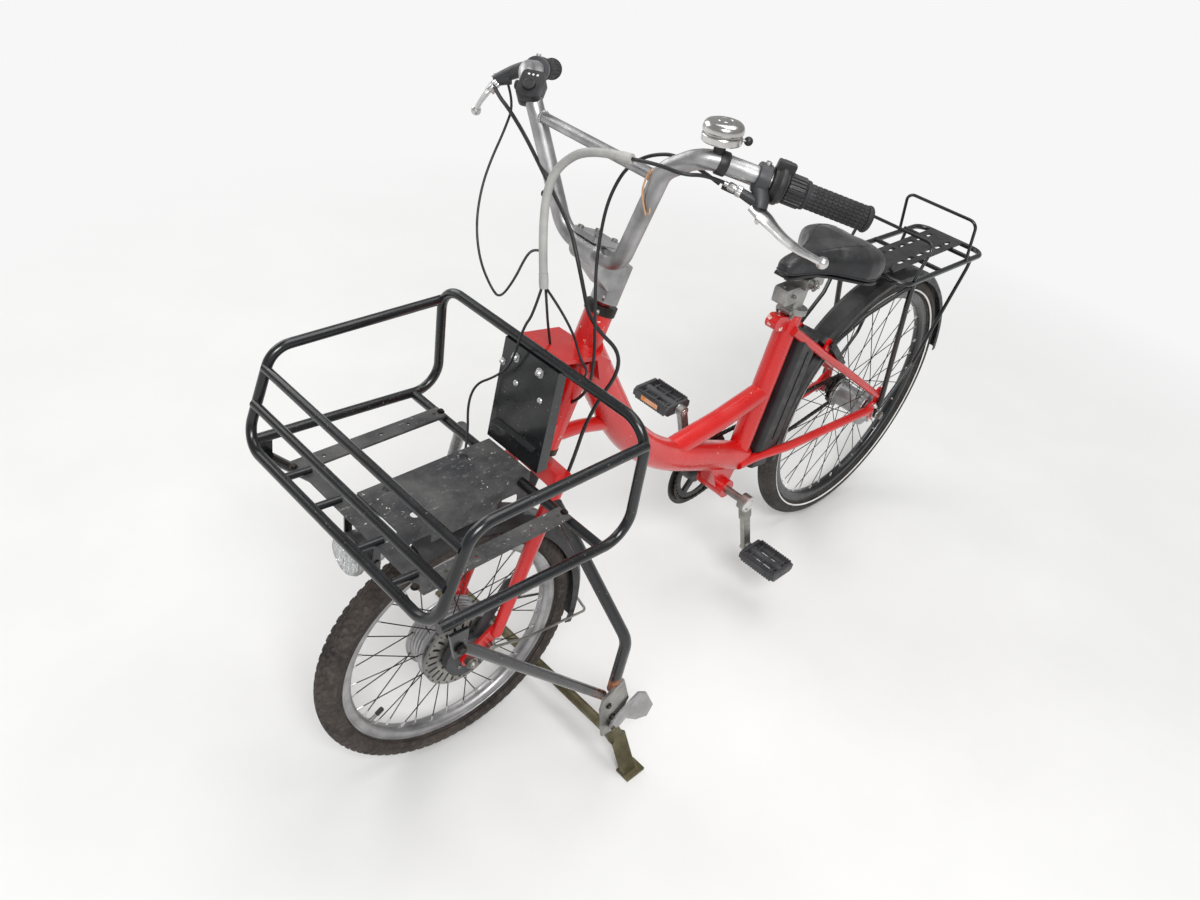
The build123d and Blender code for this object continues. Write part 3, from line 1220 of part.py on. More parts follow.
def make_parts():
    """Every node of the bicycle, in the working frame."""
    main_frame = make_main_frame()
    chain_stays = make_chain_stays(main_frame)
    seat_stays = make_seat_stays(main_frame, chain_stays)
    hoop = make_carrier_rear_hoop()
    bracket = make_head_bracket(main_frame) - hoop
    headset = make_headset()
    seat_post = make_seat_post()
    battery = make_battery() - seat_stays - chain_stays - main_frame
    rack = make_rear_rack(seat_stays) - chain_stays
    rear_guard = make_rear_mudguard() - seat_stays - chain_stays
    front_loop = make_carrier_front_loop(hoop)
    cross_tubes = make_carrier_cross_tubes(front_loop, hoop)
    strips = make_carrier_strips(front_loop, cross_tubes, hoop)
    tray = make_carrier_tray(cross_tubes, strips)
    lamp = make_headlamp()
    rear_legs = make_stand_rear_legs(cross_tubes, hoop)
    front_legs = make_stand_front_legs(hoop, front_loop, rear_legs)
    feet = make_stand_feet()
    parts = {
        "main_frame": main_frame,
        "head_bracket": bracket,
        "chain_stays": chain_stays,
        "seat_stays": seat_stays,
        "headset": headset,
        "seat_post": seat_post - main_frame,
        "saddle": make_saddle(seat_post),
        "battery": battery,
        "battery_dock": make_battery_dock(main_frame, chain_stays, battery),
        "rear_mudguard": rear_guard,
        "rear_rack": rack,
        "rack_deck": make_rack_deck(),
        "rack_bails": make_rack_bails(rack),
        "ring_lock": make_ring_lock(seat_stays, chain_stays) - rack - rear_guard,
        "rear_axle": make_rear_axle(),
        "chain": make_chain(),
        "carrier_rear_hoop": hoop,
        "carrier_front_loop": front_loop,
        "carrier_cross_tubes": cross_tubes,
        "carrier_strips": strips,
        "carrier_tray": tray,
        "back_panel": make_back_panel(hoop, bracket, tray, cross_tubes),
        "headlamp": lamp,
        "headlamp_lens": make_headlamp_lens(),
        "headlamp_bracket": make_headlamp_bracket(lamp, strips),
        "stand_rear_legs": rear_legs,
        "stand_front_legs": front_legs,
        "stand_plates": make_stand_plates(rear_legs, front_legs),
        "stand_feet": feet,
        "stand_tab": make_stand_tab(feet),
    }
    fork = make_fork()
    axle = make_front_axle()
    handlebar = make_handlebar()
    grips = make_grips(handlebar)
    shifter = make_twist_shifter(handlebar, grips)
    perches = make_brake_perches(handlebar, shifter)
    guard = make_front_mudguard(fork)
    steering = {
        "fork": fork,
        "front_axle": axle,
        "stem": make_stem(handlebar, fork, headset),
        "handlebar": handlebar,
        "grips": grips,
        "twist_shifter": shifter,
        "brake_perches": perches,
        "brake_levers": make_brake_levers(perches, handlebar, shifter),
        "bell": make_bell(handlebar),
        "switch_box": make_switch_box(handlebar),
        "front_mudguard": guard,
        "front_stay": make_front_stay(guard, fork, axle),
        "front_brake": make_front_brake(fork, axle),
        "front_tyre": tyre(FRONT_R, FRONT_TYRE_W, FRONT_RIM_R, WHEELBASE, FRONT_R),
        "front_rim": rim(FRONT_RIM_R, FRONT_RIM_DEPTH, FRONT_RIM_W, WHEELBASE, FRONT_R),
        "front_spokes": spokes(73, 20, FRONT_RIM_R - FRONT_RIM_DEPTH, 16, WHEELBASE, FRONT_R),
        "hub_motor": make_front_hub(),
        "brake_disc": make_brake_disc(),
    }
    for name, shape in steering.items():
        parts[name] = steered(shape)
    sleeve = make_cable_sleeve() - parts["stem"] - parts["handlebar"]
    touched = [parts[name] for name in CABLES_END_ON]
    parts["cable_sleeve"] = sleeve
    parts["bar_cables"] = make_bar_cables(sleeve, touched)
    parts["rear_tyre"] = tyre(REAR_R, REAR_TYRE_W, REAR_RIM_R, 0, REAR_R)
    parts["rear_rim"] = rim(REAR_RIM_R, REAR_RIM_DEPTH, REAR_RIM_W, 0, REAR_R)
    parts["rear_spokes"] = spokes(37, 31, REAR_RIM_R - REAR_RIM_DEPTH, 62, 0, REAR_R)
    parts["rear_hub"] = make_rear_hub()
    parts["sprocket"] = make_sprocket()
    crank = make_crank_set()
    parts["crank_set"] = crank
    parts["chainring"] = make_chainring(crank)
    parts["pedal_left"] = make_pedal(1)
    parts["pedal_right"] = make_pedal(-1)
    return parts


# Pieces whose surface a cable or wire ends on
CABLES_END_ON = (
    "main_frame",
    "head_bracket",
    "carrier_tray",
    "brake_perches",
    "brake_levers",
    "twist_shifter",
    "front_brake",
)

os.makedirs("parts", exist_ok=True)
for node, shape in make_parts().items():
    export_step(Pos(-ORIGIN_AHEAD, 0, 0) * shape, f"parts/{node}.step")
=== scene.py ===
import json
import math

import bmesh
import bpy
from mathutils import Matrix, Vector
from mathutils.bvhtree import BVHTree


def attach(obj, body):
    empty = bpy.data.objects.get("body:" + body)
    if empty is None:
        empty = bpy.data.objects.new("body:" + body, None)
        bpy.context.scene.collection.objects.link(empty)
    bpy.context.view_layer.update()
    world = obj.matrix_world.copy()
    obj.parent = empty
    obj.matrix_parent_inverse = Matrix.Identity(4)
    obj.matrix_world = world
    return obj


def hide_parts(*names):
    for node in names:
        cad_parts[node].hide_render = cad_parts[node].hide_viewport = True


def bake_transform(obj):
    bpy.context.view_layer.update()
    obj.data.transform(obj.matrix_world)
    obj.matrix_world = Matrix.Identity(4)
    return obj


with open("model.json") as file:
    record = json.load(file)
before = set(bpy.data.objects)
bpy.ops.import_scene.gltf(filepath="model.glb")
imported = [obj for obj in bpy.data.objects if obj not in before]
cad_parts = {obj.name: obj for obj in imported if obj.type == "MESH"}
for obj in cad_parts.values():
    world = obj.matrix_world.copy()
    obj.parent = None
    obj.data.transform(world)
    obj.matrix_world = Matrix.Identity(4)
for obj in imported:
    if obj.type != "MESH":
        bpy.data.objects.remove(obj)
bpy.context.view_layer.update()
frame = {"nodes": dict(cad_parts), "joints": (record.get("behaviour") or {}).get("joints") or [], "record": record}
NODES = frame["nodes"]
JOINTS = {joint["name"]: joint for joint in frame["joints"]}

# Places are given in millimetres: x from the rear axle, y to the rider's left, z up from the floor
AHEAD = 545.0

# Camera: place, heading, tilt down and roll in degrees, focal length in pixels of a 1200 x 900 picture
CAMERA_PLACE = (1942.7, 880.4, 1541.3)
CAMERA_YAW = -140.062
CAMERA_DOWN = 36.224
CAMERA_ROLL = 10.382
CAMERA_FOCAL_PX = 978.72
PICTURE_W = 1200
SENSOR_MM = 36.0

# Sizes shared with the solids
STEER_REST = -5.41
WHEELBASE, FRONT_R, REAR_R = 1190.0, 250.0, 326.0
BB = (497.0, 0.0, 290.0)
BAR_CLAMP = (984.0, 0.0, 936.0)
HEAD_TILT = math.radians(19.47)


def at(x, y, z):
    """A place in the frame, from millimetres."""
    return Vector(((x - AHEAD) / 1000, y / 1000, z / 1000))


def on_bar(ahead, y, over):
    """A place given from the middle of the handlebar clamp."""
    return at(BAR_CLAMP[0] + ahead, y, BAR_CLAMP[2] + over)


def shift(x, y, z):
    """Matrix that moves by millimetres."""
    return Matrix.Translation(Vector((x, y, z)) / 1000)


def rotation(degrees, axis):
    return Matrix.Rotation(math.radians(degrees), 4, axis)


def steer_matrix():
    """Turn of the front end from straight ahead to its rest angle."""
    joint = JOINTS["steering_turn"]
    pivot = Vector(joint["pos_m"])
    turn = Matrix.Rotation(math.radians(STEER_REST), 4, Vector(joint["axis"]))
    return Matrix.Translation(pivot) @ turn @ Matrix.Translation(-pivot)


STEER = steer_matrix()
MIRROR = Matrix.Scale(-1, 4, (0, 1, 0))
# Outward directions on the left and the right
SIDES = (1, -1)
# A turned shape stands on z; this lays it across the bicycle, z to the left
ACROSS = rotation(-90, "X")
FRONT_WHEEL = STEER @ Matrix.Translation(at(WHEELBASE, 0, FRONT_R)) @ ACROSS
REAR_WHEEL = Matrix.Translation(at(0, 0, REAR_R)) @ ACROSS


def facing(place, direction):
    """Matrix that stands a shape's z along a direction at a place."""
    return Matrix.Translation(place) @ Vector(direction).to_track_quat("Z", "Y").to_matrix().to_4x4()


def add_camera():
    """Camera at the photograph's viewing angle."""
    yaw, down, roll = (math.radians(a) for a in (CAMERA_YAW, CAMERA_DOWN, CAMERA_ROLL))
    forward = Vector((math.cos(down) * math.cos(yaw), math.cos(down) * math.sin(yaw), -math.sin(down)))
    right = forward.cross(Vector((0, 0, 1))).normalized()
    up = right.cross(forward)
    rolled_right = right * math.cos(roll) + up * math.sin(roll)
    rolled_up = up * math.cos(roll) - right * math.sin(roll)
    data = bpy.data.cameras.new("camera")
    data.sensor_width = SENSOR_MM
    data.lens = CAMERA_FOCAL_PX / PICTURE_W * SENSOR_MM
    camera = bpy.data.objects.new("camera", data)
    bpy.context.scene.collection.objects.link(camera)
    turn = Matrix((rolled_right, rolled_up, -forward)).transposed().to_4x4()
    camera.matrix_world = Matrix.Translation(at(*CAMERA_PLACE)) @ turn
    bpy.context.scene.camera = camera


# Mesh building, all lengths in millimetres until a piece is made

class Shape:
    """Vertices and faces collected from several solids."""

    def __init__(self):
        self.verts = []
        self.faces = []
        self.marks = []

    def add(self, solid, matrix=None, mark=0):
        """Add (vertices, faces) in millimetres; matrix is in metres."""
        verts, faces = solid
        base = len(self.verts)
        matrix = matrix or Matrix()
        self.verts += [matrix @ (Vector(v) / 1000) for v in verts]
        self.faces += [[i + base for i in face] for face in faces]
        self.marks += [mark] * len(faces)
        return self

    def turned(self, matrix):
        """The whole shape moved by a matrix."""
        self.verts = [matrix @ v for v in self.verts]
        return self


def piece(name, shape, slot, body, replaces=(), angle=32.0, more=()):
    """Make one piece of the object from a shape; more are the materials of marks 1, 2 and so on."""
    mesh = bpy.data.meshes.new(name)
    mesh.from_pydata([tuple(v) for v in shape.verts], [], shape.faces)
    work = bmesh.new()
    work.from_mesh(mesh)
    bmesh.ops.recalc_face_normals(work, faces=work.faces)
    work.to_mesh(mesh)
    work.free()
    mesh.polygons.foreach_set("use_smooth", [True] * len(mesh.polygons))
    mesh.polygons.foreach_set("material_index", shape.marks)
    mesh.set_sharp_from_angle(angle=math.radians(angle))
    for material in (slot, *more):
        mesh.materials.append(MATERIALS[material])
    made = bpy.data.objects.new(name, mesh)
    bpy.context.scene.collection.objects.link(made)
    if body:
        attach(made, body)
    if replaces:
        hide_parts(*replaces)
    return made


def lathed(profile, steps=48, closed=False, height=None):
    """Turned solid about z from (radius, height) points; a third number is the count of flats there.

    height(row, angle) gives how far a point stands out from the profile.
    """
    verts, faces, rows = [], [], []
    for number, point in enumerate(profile):
        radius, level = point[0], point[1]
        if radius < 1e-6:
            rows.append([len(verts)])
            verts.append((0, 0, level))
            continue
        rows.append(range(len(verts), len(verts) + steps))
        for step in range(steps):
            angle = 2 * math.pi * step / steps
            r = radius
            if len(point) > 2:
                half = math.pi / point[2]
                r = radius * math.cos(half) / math.cos((angle + half) % (2 * half) - half)
            if height:
                r += height(number, angle)
            verts.append((r * math.cos(angle), r * math.sin(angle), level))
    pairs = list(zip(rows, rows[1:]))
    if closed:
        pairs.append((rows[-1], rows[0]))
    for low, high in pairs:
        for step in range(steps):
            after = (step + 1) % steps
            corners = [row[n % len(row)] for row, n in ((low, step), (low, after), (high, after), (high, step))]
            faces.append(list(dict.fromkeys(corners)))
    return verts, faces


def swept(points, radii, sides=12, up=None, closed=False):
    """Rod through points; radii is one radius, or one radius or (wide, thick) pair for each point."""
    points = [Vector(p) for p in points]
    count = len(points)
    if isinstance(radii, (int, float)):
        radii = [radii] * count
    verts, faces = [], []
    along = None
    for number, point in enumerate(points):
        before = points[(number - 1) % count] if closed or number else point
        after = points[(number + 1) % count] if closed or number < count - 1 else point
        new_along = (after - before).normalized()
        if along is None:
            side = Vector(up).cross(new_along) if up else new_along.orthogonal()
        else:
            side = along.rotation_difference(new_along) @ side
        along = new_along
        side = (side - along * side.dot(along)).normalized()
        other = along.cross(side)
        wide, thick = radii[number] if isinstance(radii[number], tuple) else (radii[number],) * 2
        for step in range(sides):
            turn = 2 * math.pi * step / sides
            verts.append(point + side * (wide * math.cos(turn)) + other * (thick * math.sin(turn)))
    for row in range(count if closed else count - 1):
        for step in range(sides):
            after = (step + 1) % sides
            low, high = row * sides, (row + 1) % count * sides
            faces.append([low + step, low + after, high + after, high + step])
    if not closed:
        faces.append(list(range(sides)))
        faces.append([(count - 1) * sides + step for step in range(sides)])
    return verts, faces


def extruded(outline, low, high, bevel=0.0):
    """Plate of an (x, y) outline between two levels, its edges rounded by bevel."""
    work = bmesh.new()
    corners = [work.verts.new((x, y, low)) for x, y in outline]
    face = work.faces.new(corners)
    grown = bmesh.ops.extrude_face_region(work, geom=[face])
    lifted = [g for g in grown["geom"] if isinstance(g, bmesh.types.BMVert)]
    bmesh.ops.translate(work, verts=lifted, vec=(0, 0, high - low))
    if bevel:
        bmesh.ops.bevel(work, geom=list(work.edges), offset=bevel, segments=2, profile=0.6,
                        affect="EDGES", clamp_overlap=True)
    work.verts.index_update()
    solid = [tuple(v.co) for v in work.verts], [[v.index for v in f.verts] for f in work.faces]
    work.free()
    return solid


def block(length, width, thick, bevel):
    """Rounded block about the origin."""
    a, b = length / 2, width / 2
    return extruded([(-a, -b), (a, -b), (a, b), (-a, b)], -thick / 2, thick / 2, bevel)


def ribs(depth, count, rows):
    """Ribs along some rows of a turned solid, for lathed's height."""
    return lambda row, turn: depth * math.cos(count * turn) if row in rows else 0.0


def ball(radius):
    """Profile of a ball about the origin, for lathed."""
    turns = [math.radians(d) for d in range(-75, 90, 15)]
    return [(0, -radius)] + [(radius * math.cos(a), radius * math.sin(a)) for a in turns] + [(0, radius)]


def smooth_line(points, steps=8):
    """Points along a smooth curve drawn through the frame by the given control points, in metres."""
    curve = bpy.data.curves.new("route", "CURVE")
    curve.dimensions = "3D"
    curve.resolution_u = steps
    spline = curve.splines.new("NURBS")
    spline.points.add(len(points) - 1)
    for control, point in zip(spline.points, points):
        control.co = (*point, 1.0)
    spline.order_u = 3
    spline.use_endpoint_u = True
    holder = bpy.data.objects.new("route", curve)
    bpy.context.scene.collection.objects.link(holder)
    bpy.context.view_layer.update()
    line = bpy.data.meshes.new_from_object(holder)
    found = [v.co.copy() for v in line.vertices]
    bpy.data.objects.remove(holder)
    bpy.data.curves.remove(curve)
    bpy.data.meshes.remove(line)
    return found


def cable(shape, points, radius, sides=10, steps=8):
    """Add a round cable along a smooth curve; points are in metres, the radius in millimetres."""
    line = [p * 1000 for p in smooth_line(points, steps)]
    return shape.add(swept(line, radius, sides))


# Small fasteners: (radius, height) profiles from their seat upwards, for a size of 1
FASTENERS = {
    "dome": [(1.3, 0), (1.3, 0.14), (1.0, 0.16, 6), (1.0, 0.62, 6), (0.82, 0.74), (0.68, 1.05), (0.38, 1.3), (0, 1.4)],
    "hex": [(1.35, 0), (1.35, 0.16), (1.0, 0.18, 6), (1.0, 0.72, 6), (0.84, 0.86), (0, 0.86)],
    "socket": [(1.0, 0), (1.0, 0.78), (0.9, 0.9), (0.58, 0.9, 6), (0.56, 0.4, 6), (0, 0.4)],
    "round": [(1.0, 0), (0.98, 0.2), (0.8, 0.48), (0.45, 0.66), (0, 0.7)],
    "nut": [(1.0, 0, 6), (1.0, 0.7, 6), (0.84, 0.82), (0.5, 0.82), (0.5, 1.25), (0.42, 1.35), (0, 1.35)],
}


def add_outward(shape, rows, sides=SIDES):
    """Add fasteners that face outwards on each side, from rows of kind, radius, x, y and z."""
    for side in sides:
        add_fasteners(shape, [(kind, size, at(x, side * y, z), (0, side, 0)) for kind, size, x, y, z in rows])


def add_fasteners(shape, rows):
    """Add fasteners to a shape from rows of kind, radius, seat place and outward direction."""
    for kind, size, place, direction in rows:
        profile = [(p[0] * size, p[1] * size, *p[2:]) for p in FASTENERS[kind]]
        shape.add(lathed(profile, 24), facing(place, direction))
    return shape


# Materials

def feed(tree, socket, value):
    """Set a socket's own value, or link another socket to it."""
    if isinstance(value, bpy.types.NodeSocket):
        tree.links.new(value, socket)
    else:
        socket.default_value = value


def add_node(tree, kind, **inputs):
    """New shader node with its inputs set or linked."""
    node = tree.nodes.new("ShaderNode" + kind)
    for name, value in inputs.items():
        feed(tree, node.inputs[name], value)
    return node


def calculated(tree, operation, *values, kind="Math"):
    """Output of a Math or VectorMath node."""
    node = add_node(tree, kind)
    node.operation = operation
    for socket, value in zip(node.inputs, values):
        feed(tree, socket, value)
    return node.outputs["Value"]


class Shader:
    """Small builder for a procedural material on one Principled shader."""

    def __init__(self, name, metallic=0.0, coat=0.0, ior=1.5):
        self.material = bpy.data.materials.new(name)
        self.material.use_nodes = True
        self.tree = self.material.node_tree
        self.shader = self.tree.nodes["Principled BSDF"]
        self.give({"Metallic": metallic, "Coat Weight": coat, "Coat Roughness": 0.12, "IOR": ior})
        self.place = add_node(self.tree, "TexCoord").outputs["Object"]

    def give(self, inputs):
        """Feed the Principled shader."""
        for name, value in inputs.items():
            feed(self.tree, self.shader.inputs[name], value)

    def surface(self, colour, rough, height, strength, distance):
        """Feed the Principled shader, with height as a bump, and return the material."""
        bump = add_node(self.tree, "Bump", Strength=strength, Distance=distance, Height=height)
        self.give({"Base Color": colour, "Roughness": rough, "Normal": bump.outputs["Normal"]})
        return self.material

    def noise(self, scale, detail=4.0, rough=0.55, stretch=None):
        place = self.place
        if stretch:
            place = add_node(self.tree, "Mapping", Vector=place, Scale=stretch).outputs["Vector"]
        node = add_node(self.tree, "TexNoise", Vector=place, Scale=scale, Detail=detail, Roughness=rough)
        return node.outputs["Fac"]

    def cells(self, scale):
        """Distance from the nearest of many scattered points, for pits and grain."""
        return add_node(self.tree, "TexVoronoi", Vector=self.place, Scale=scale).outputs["Distance"]

    def band(self, value, low, high, to_low=0.0, to_high=1.0):
        """Map value from low..high to to_low..to_high, clamped."""
        ends = {"From Min": low, "From Max": high, "To Min": to_low, "To Max": to_high}
        return add_node(self.tree, "MapRange", Value=value, **ends).outputs["Result"]

    def spots(self, low, high, *noise, to=(0.0, 1.0)):
        """Noise, its part between low and high mapped to the two values of to."""
        return self.band(self.noise(*noise), low, high, *to)

    def mix(self, factor, first, second):
        node = add_node(self.tree, "Mix")
        node.data_type = "RGBA"
        for key, value in ((0, factor), (6, first), (7, second)):
            feed(self.tree, node.inputs[key], (*value, 1.0) if isinstance(value, tuple) else value)
        return node.outputs[2]

    def math(self, operation, *values):
        return calculated(self.tree, operation, *values)

    def times(self, first, second):
        return self.math("MULTIPLY", first, second)

    def most(self, first, second):
        return self.math("MAXIMUM", first, second)

    def near(self, place, radius):
        """1 at a place, falling to 0 at that radius in metres."""
        away = calculated(self.tree, "DISTANCE", self.place, tuple(place), kind="VectorMath")
        return self.band(away, radius * 0.4, radius, 1.0, 0.0)

    def level(self):
        """Height above the floor in metres."""
        return add_node(self.tree, "SeparateXYZ", Vector=self.place).outputs["Z"]

    def edges(self):
        """Share by which the surface bulges, as worn edges do."""
        return self.band(add_node(self.tree, "NewGeometry").outputs["Pointiness"], 0.51, 0.6)

    def upward(self):
        """Share by which the surface faces up."""
        normal = add_node(self.tree, "NewGeometry").outputs["Normal"]
        return self.band(add_node(self.tree, "SeparateXYZ", Vector=normal).outputs["Z"], 0.1, 0.95)


def srgb(*colour):
    """Linear colour of an 8-bit screen colour."""
    shares = [c / 255 for c in colour]
    return tuple(c / 12.92 if c <= 0.04045 else ((c + 0.055) / 1.055) ** 2.4 for c in shares)


def red_paint():
    s = Shader("red_paint", coat=0.45)
    specks = s.times(s.spots(0.7, 0.715, 110.0, 3.0, 0.6), s.spots(0.5, 0.58, 9.0, 2.0))
    flaked = s.times(s.near(at(480, 20, 622), 0.042), s.spots(0.5, 0.53, 60.0, 4.0, 0.6))
    scraped = s.times(s.near(at(440, 18, 672), 0.05), s.spots(0.6, 0.63, 90.0, 3.0))
    chipped = s.most(s.most(specks, flaked), scraped)
    base = s.mix(s.spots(0.35, 0.65, 6.0), srgb(192, 8, 8), srgb(208, 16, 14))
    dust = s.times(s.upward(), s.spots(0.45, 0.75, 14.0, 6.0, to=(0.0, 0.16)))
    base = s.mix(dust, base, srgb(196, 120, 104))
    grime = s.spots(0.58, 0.78, 24.0, 7.0, 0.7, to=(0.0, 0.35))
    base = s.mix(grime, base, srgb(120, 24, 20))
    base = s.mix(chipped, base, srgb(228, 214, 204))
    height = s.math("SUBTRACT", s.times(s.noise(200.0, 2.0), 0.1), chipped)
    return s.surface(base, s.spots(0.3, 0.7, 30.0, 5.0, to=(0.22, 0.42)), height, 0.3, 0.0006)


def black_paint(name, rust_top=None):
    """Worn black coat; below rust_top, a height in metres, the steel has rusted through."""
    s = Shader(name, coat=0.3)
    worn = s.spots(0.63, 0.69, 95.0, 6.0, 0.7)
    patch = s.spots(0.58, 0.7, 5.0, 3.0)
    specks = s.times(s.spots(0.7, 0.73, 230.0, 2.0), s.spots(0.45, 0.6, 12.0))
    worn_edges = s.times(s.times(s.edges(), patch), worn)
    scuffs = s.most(s.times(worn, patch), s.most(specks, worn_edges))
    dust = s.times(s.upward(), s.spots(0.56, 0.85, 38.0, 7.0, 0.7, to=(0.0, 0.05)))
    base = s.mix(s.spots(0.35, 0.65, 11.0), srgb(10, 11, 13), srgb(18, 20, 23))
    base = s.mix(dust, base, srgb(84, 84, 86))
    base = s.mix(scuffs, base, srgb(132, 128, 122))
    rough = s.spots(0.3, 0.7, 40.0, 5.0, to=(0.2, 0.38))
    height = s.math("SUBTRACT", s.times(s.noise(420.0, 2.0), 0.4), scuffs)
    if rust_top:
        ragged = s.math("ADD", s.level(), s.spots(0.3, 0.7, 55.0, 5.0, to=(-0.03, 0.03)))
        rust = s.band(ragged, rust_top - 0.006, rust_top + 0.004, 1.0, 0.0)
        base = s.mix(rust, base, s.mix(s.spots(0.35, 0.65, 90.0, 6.0), srgb(88, 46, 26), srgb(158, 98, 62)))
        rough = s.math("ADD", rough, s.times(rust, 0.4))
        height = s.math("ADD", height, s.times(rust, s.noise(240.0, 5.0)))
    return s.surface(base, rough, height, 0.3, 0.0005)


def grey_sheet():
    s = Shader("grey_sheet", metallic=0.15)
    scratch = s.spots(0.58, 0.66, 120.0, 7.0, 0.75, (0.6, 1.2, 1.0))
    bare = s.times(scratch, s.spots(0.44, 0.66, 9.0, 5.0))
    flecks = s.times(s.spots(0.69, 0.72, 150.0, 2.0), s.spots(0.46, 0.58, 15.0, 3.0))
    base = s.mix(s.spots(0.38, 0.64, 10.0, 7.0, 0.7), srgb(44, 45, 48), srgb(88, 87, 86))
    base = s.mix(bare, base, srgb(168, 166, 160))
    base = s.mix(flecks, base, srgb(226, 222, 214))
    height = s.math("SUBTRACT", s.noise(60.0, 7.0), bare)
    return s.surface(base, s.spots(0.3, 0.7, 50.0, 5.0, to=(0.42, 0.72)), height, 0.35, 0.0009)


def metal(name, dark, light, rough, pits=0.15, tarnish=None, spread=0.58):
    """Bare metal; tarnish is a colour, more of it with a lower spread."""
    s = Shader(name, metallic=1.0)
    base = s.mix(s.spots(0.35, 0.65, 22.0, 6.0), srgb(*dark), srgb(*light))
    if tarnish:
        dull = s.spots(spread, spread + 0.1, 75.0, 7.0, 0.75)
        base = s.mix(dull, base, srgb(*tarnish))
        s.give({"Metallic": s.band(dull, 0.0, 1.0, 1.0, 0.2)})
    return s.surface(base, s.spots(0.3, 0.7, 90.0, 4.0, 0.6, to=rough), s.noise(140.0, 3.0, 0.6), pits, 0.0003)


def plastic(name, dark, light, rough, grain=900.0, dust_amount=0.2, coat=0.0):
    s = Shader(name, coat=coat)
    light = srgb(*light)
    base = s.mix(s.spots(0.35, 0.65, 16.0, 5.0), srgb(*dark), light)
    dust = s.times(s.upward(), s.spots(0.42, 0.8, 25.0, 6.0, to=(0.02, dust_amount)))
    base = s.mix(dust, base, srgb(122, 118, 112))
    base = s.mix(s.times(s.edges(), s.spots(0.4, 0.6, 40.0, 5.0, to=(0.0, 0.5))), base, light)
    return s.surface(base, s.spots(0.3, 0.7, 60.0, 5.0, to=rough), s.band(s.cells(grain), 0.0, 0.8), 0.2, 0.0003)


def tyre_rubber(name, dark, dirty, dust):
    s = Shader(name)
    base = s.mix(s.spots(0.35, 0.6, 13.0, 7.0, 0.65), srgb(*dark), srgb(*dirty))
    base = s.mix(s.spots(0.48, 0.8, 120.0, 5.0, to=(0.0, 0.45)), base, srgb(*dust))
    return s.surface(base, s.spots(0.3, 0.7, 45.0, 5.0, to=(0.72, 0.92)), s.noise(380.0, 4.0), 0.3, 0.0005)


def clear(name, tint, rough, passing):
    """Glass or clear plastic; passing is the share of light that goes through."""
    s = Shader(name, ior=1.47)
    s.give({"Transmission Weight": passing})
    base = s.mix(s.spots(0.3, 0.7, 40.0), tint, tuple(0.5 + c / 2 for c in tint))
    return s.surface(base, s.spots(0.3, 0.7, 80.0, to=rough), s.noise(120.0, 1.0), 0.15, 0.0006)


# Height in metres up to which the stand's legs have rusted
RUST_TOP = 0.262
# Dark and light screen colours, roughness, depth of pits, tarnish and its spread
METALS = {
    "olive_steel": ((92, 88, 66), (132, 126, 102), (0.42, 0.7), 0.15, (96, 62, 40)),
    "satin_alloy": ((150, 149, 150), (186, 185, 186), (0.34, 0.52), 0.06),
    "cast_alloy": ((138, 138, 136), (184, 184, 181), (0.4, 0.62), 0.15, (98, 96, 92), 0.6),
    "bright_alloy": ((190, 190, 190), (222, 222, 221), (0.28, 0.42), 0.03),
    "plain_steel": ((122, 121, 118), (170, 168, 162), (0.35, 0.6), 0.15, (112, 92, 74), 0.63),
    "dark_steel": ((46, 44, 42), (84, 80, 76), (0.35, 0.6), 0.15, (74, 54, 40)),
    "chrome": ((176, 174, 170), (212, 211, 208), (0.16, 0.28), 0.04, (120, 112, 100), 0.68),
}
# Dark and light screen colours, roughness, scale of the grain, dust and coat
PLASTICS = {
    "grip_rubber": ((20, 20, 22), (36, 36, 39), (0.55, 0.8), 600.0, 0.12),
    "black_plastic": ((18, 18, 20), (33, 33, 36), (0.32, 0.58)),
    "grey_plastic": ((40, 41, 43), (64, 65, 68), (0.36, 0.6)),
    "pale_plastic": ((150, 150, 148), (178, 177, 173), (0.45, 0.65), 700.0, 0.1),
    "saddle_cover": ((20, 21, 24), (33, 34, 38), (0.3, 0.5), 1400.0, 0.25, 0.1),
    "white_plastic": ((214, 214, 212), (240, 240, 238), (0.4, 0.6)),
    "tan_tie": ((176, 132, 96), (206, 166, 130), (0.5, 0.7)),
}
MATERIALS = {
    "red_paint": red_paint(),
    "black_paint": black_paint("black_paint"),
    "rusted_legs": black_paint("rusted_legs", RUST_TOP),
    "grey_sheet": grey_sheet(),
    "tyre": tyre_rubber("tyre", (34, 32, 31), (58, 54, 50), (96, 88, 80)),
    "dusty_tyre": tyre_rubber("dusty_tyre", (36, 32, 30), (66, 58, 53), (112, 102, 94)),
    "lamp_lens": clear("lamp_lens", (0.86, 0.88, 0.9), (0.04, 0.14), 0.9),
    "amber": clear("amber", (1.0, 0.32, 0.02), (0.1, 0.25), 0.25),
}
MATERIALS |= {name: metal(name, *row) for name, row in METALS.items()}
MATERIALS |= {name: plastic(name, *row) for name, row in PLASTICS.items()}
# Nodes that look different from the rest of their slot
OWN_LOOKS = {"stand_rear_legs": "rusted_legs", "stand_front_legs": "rusted_legs", "seat_post": "cast_alloy"}

for row in frame["record"]["subparts"]:
    look = OWN_LOOKS.get(row["node"], row["material_slot"])
    NODES[row["node"]].data.materials.clear()
    NODES[row["node"]].data.materials.append(MATERIALS[look])


# Wheels

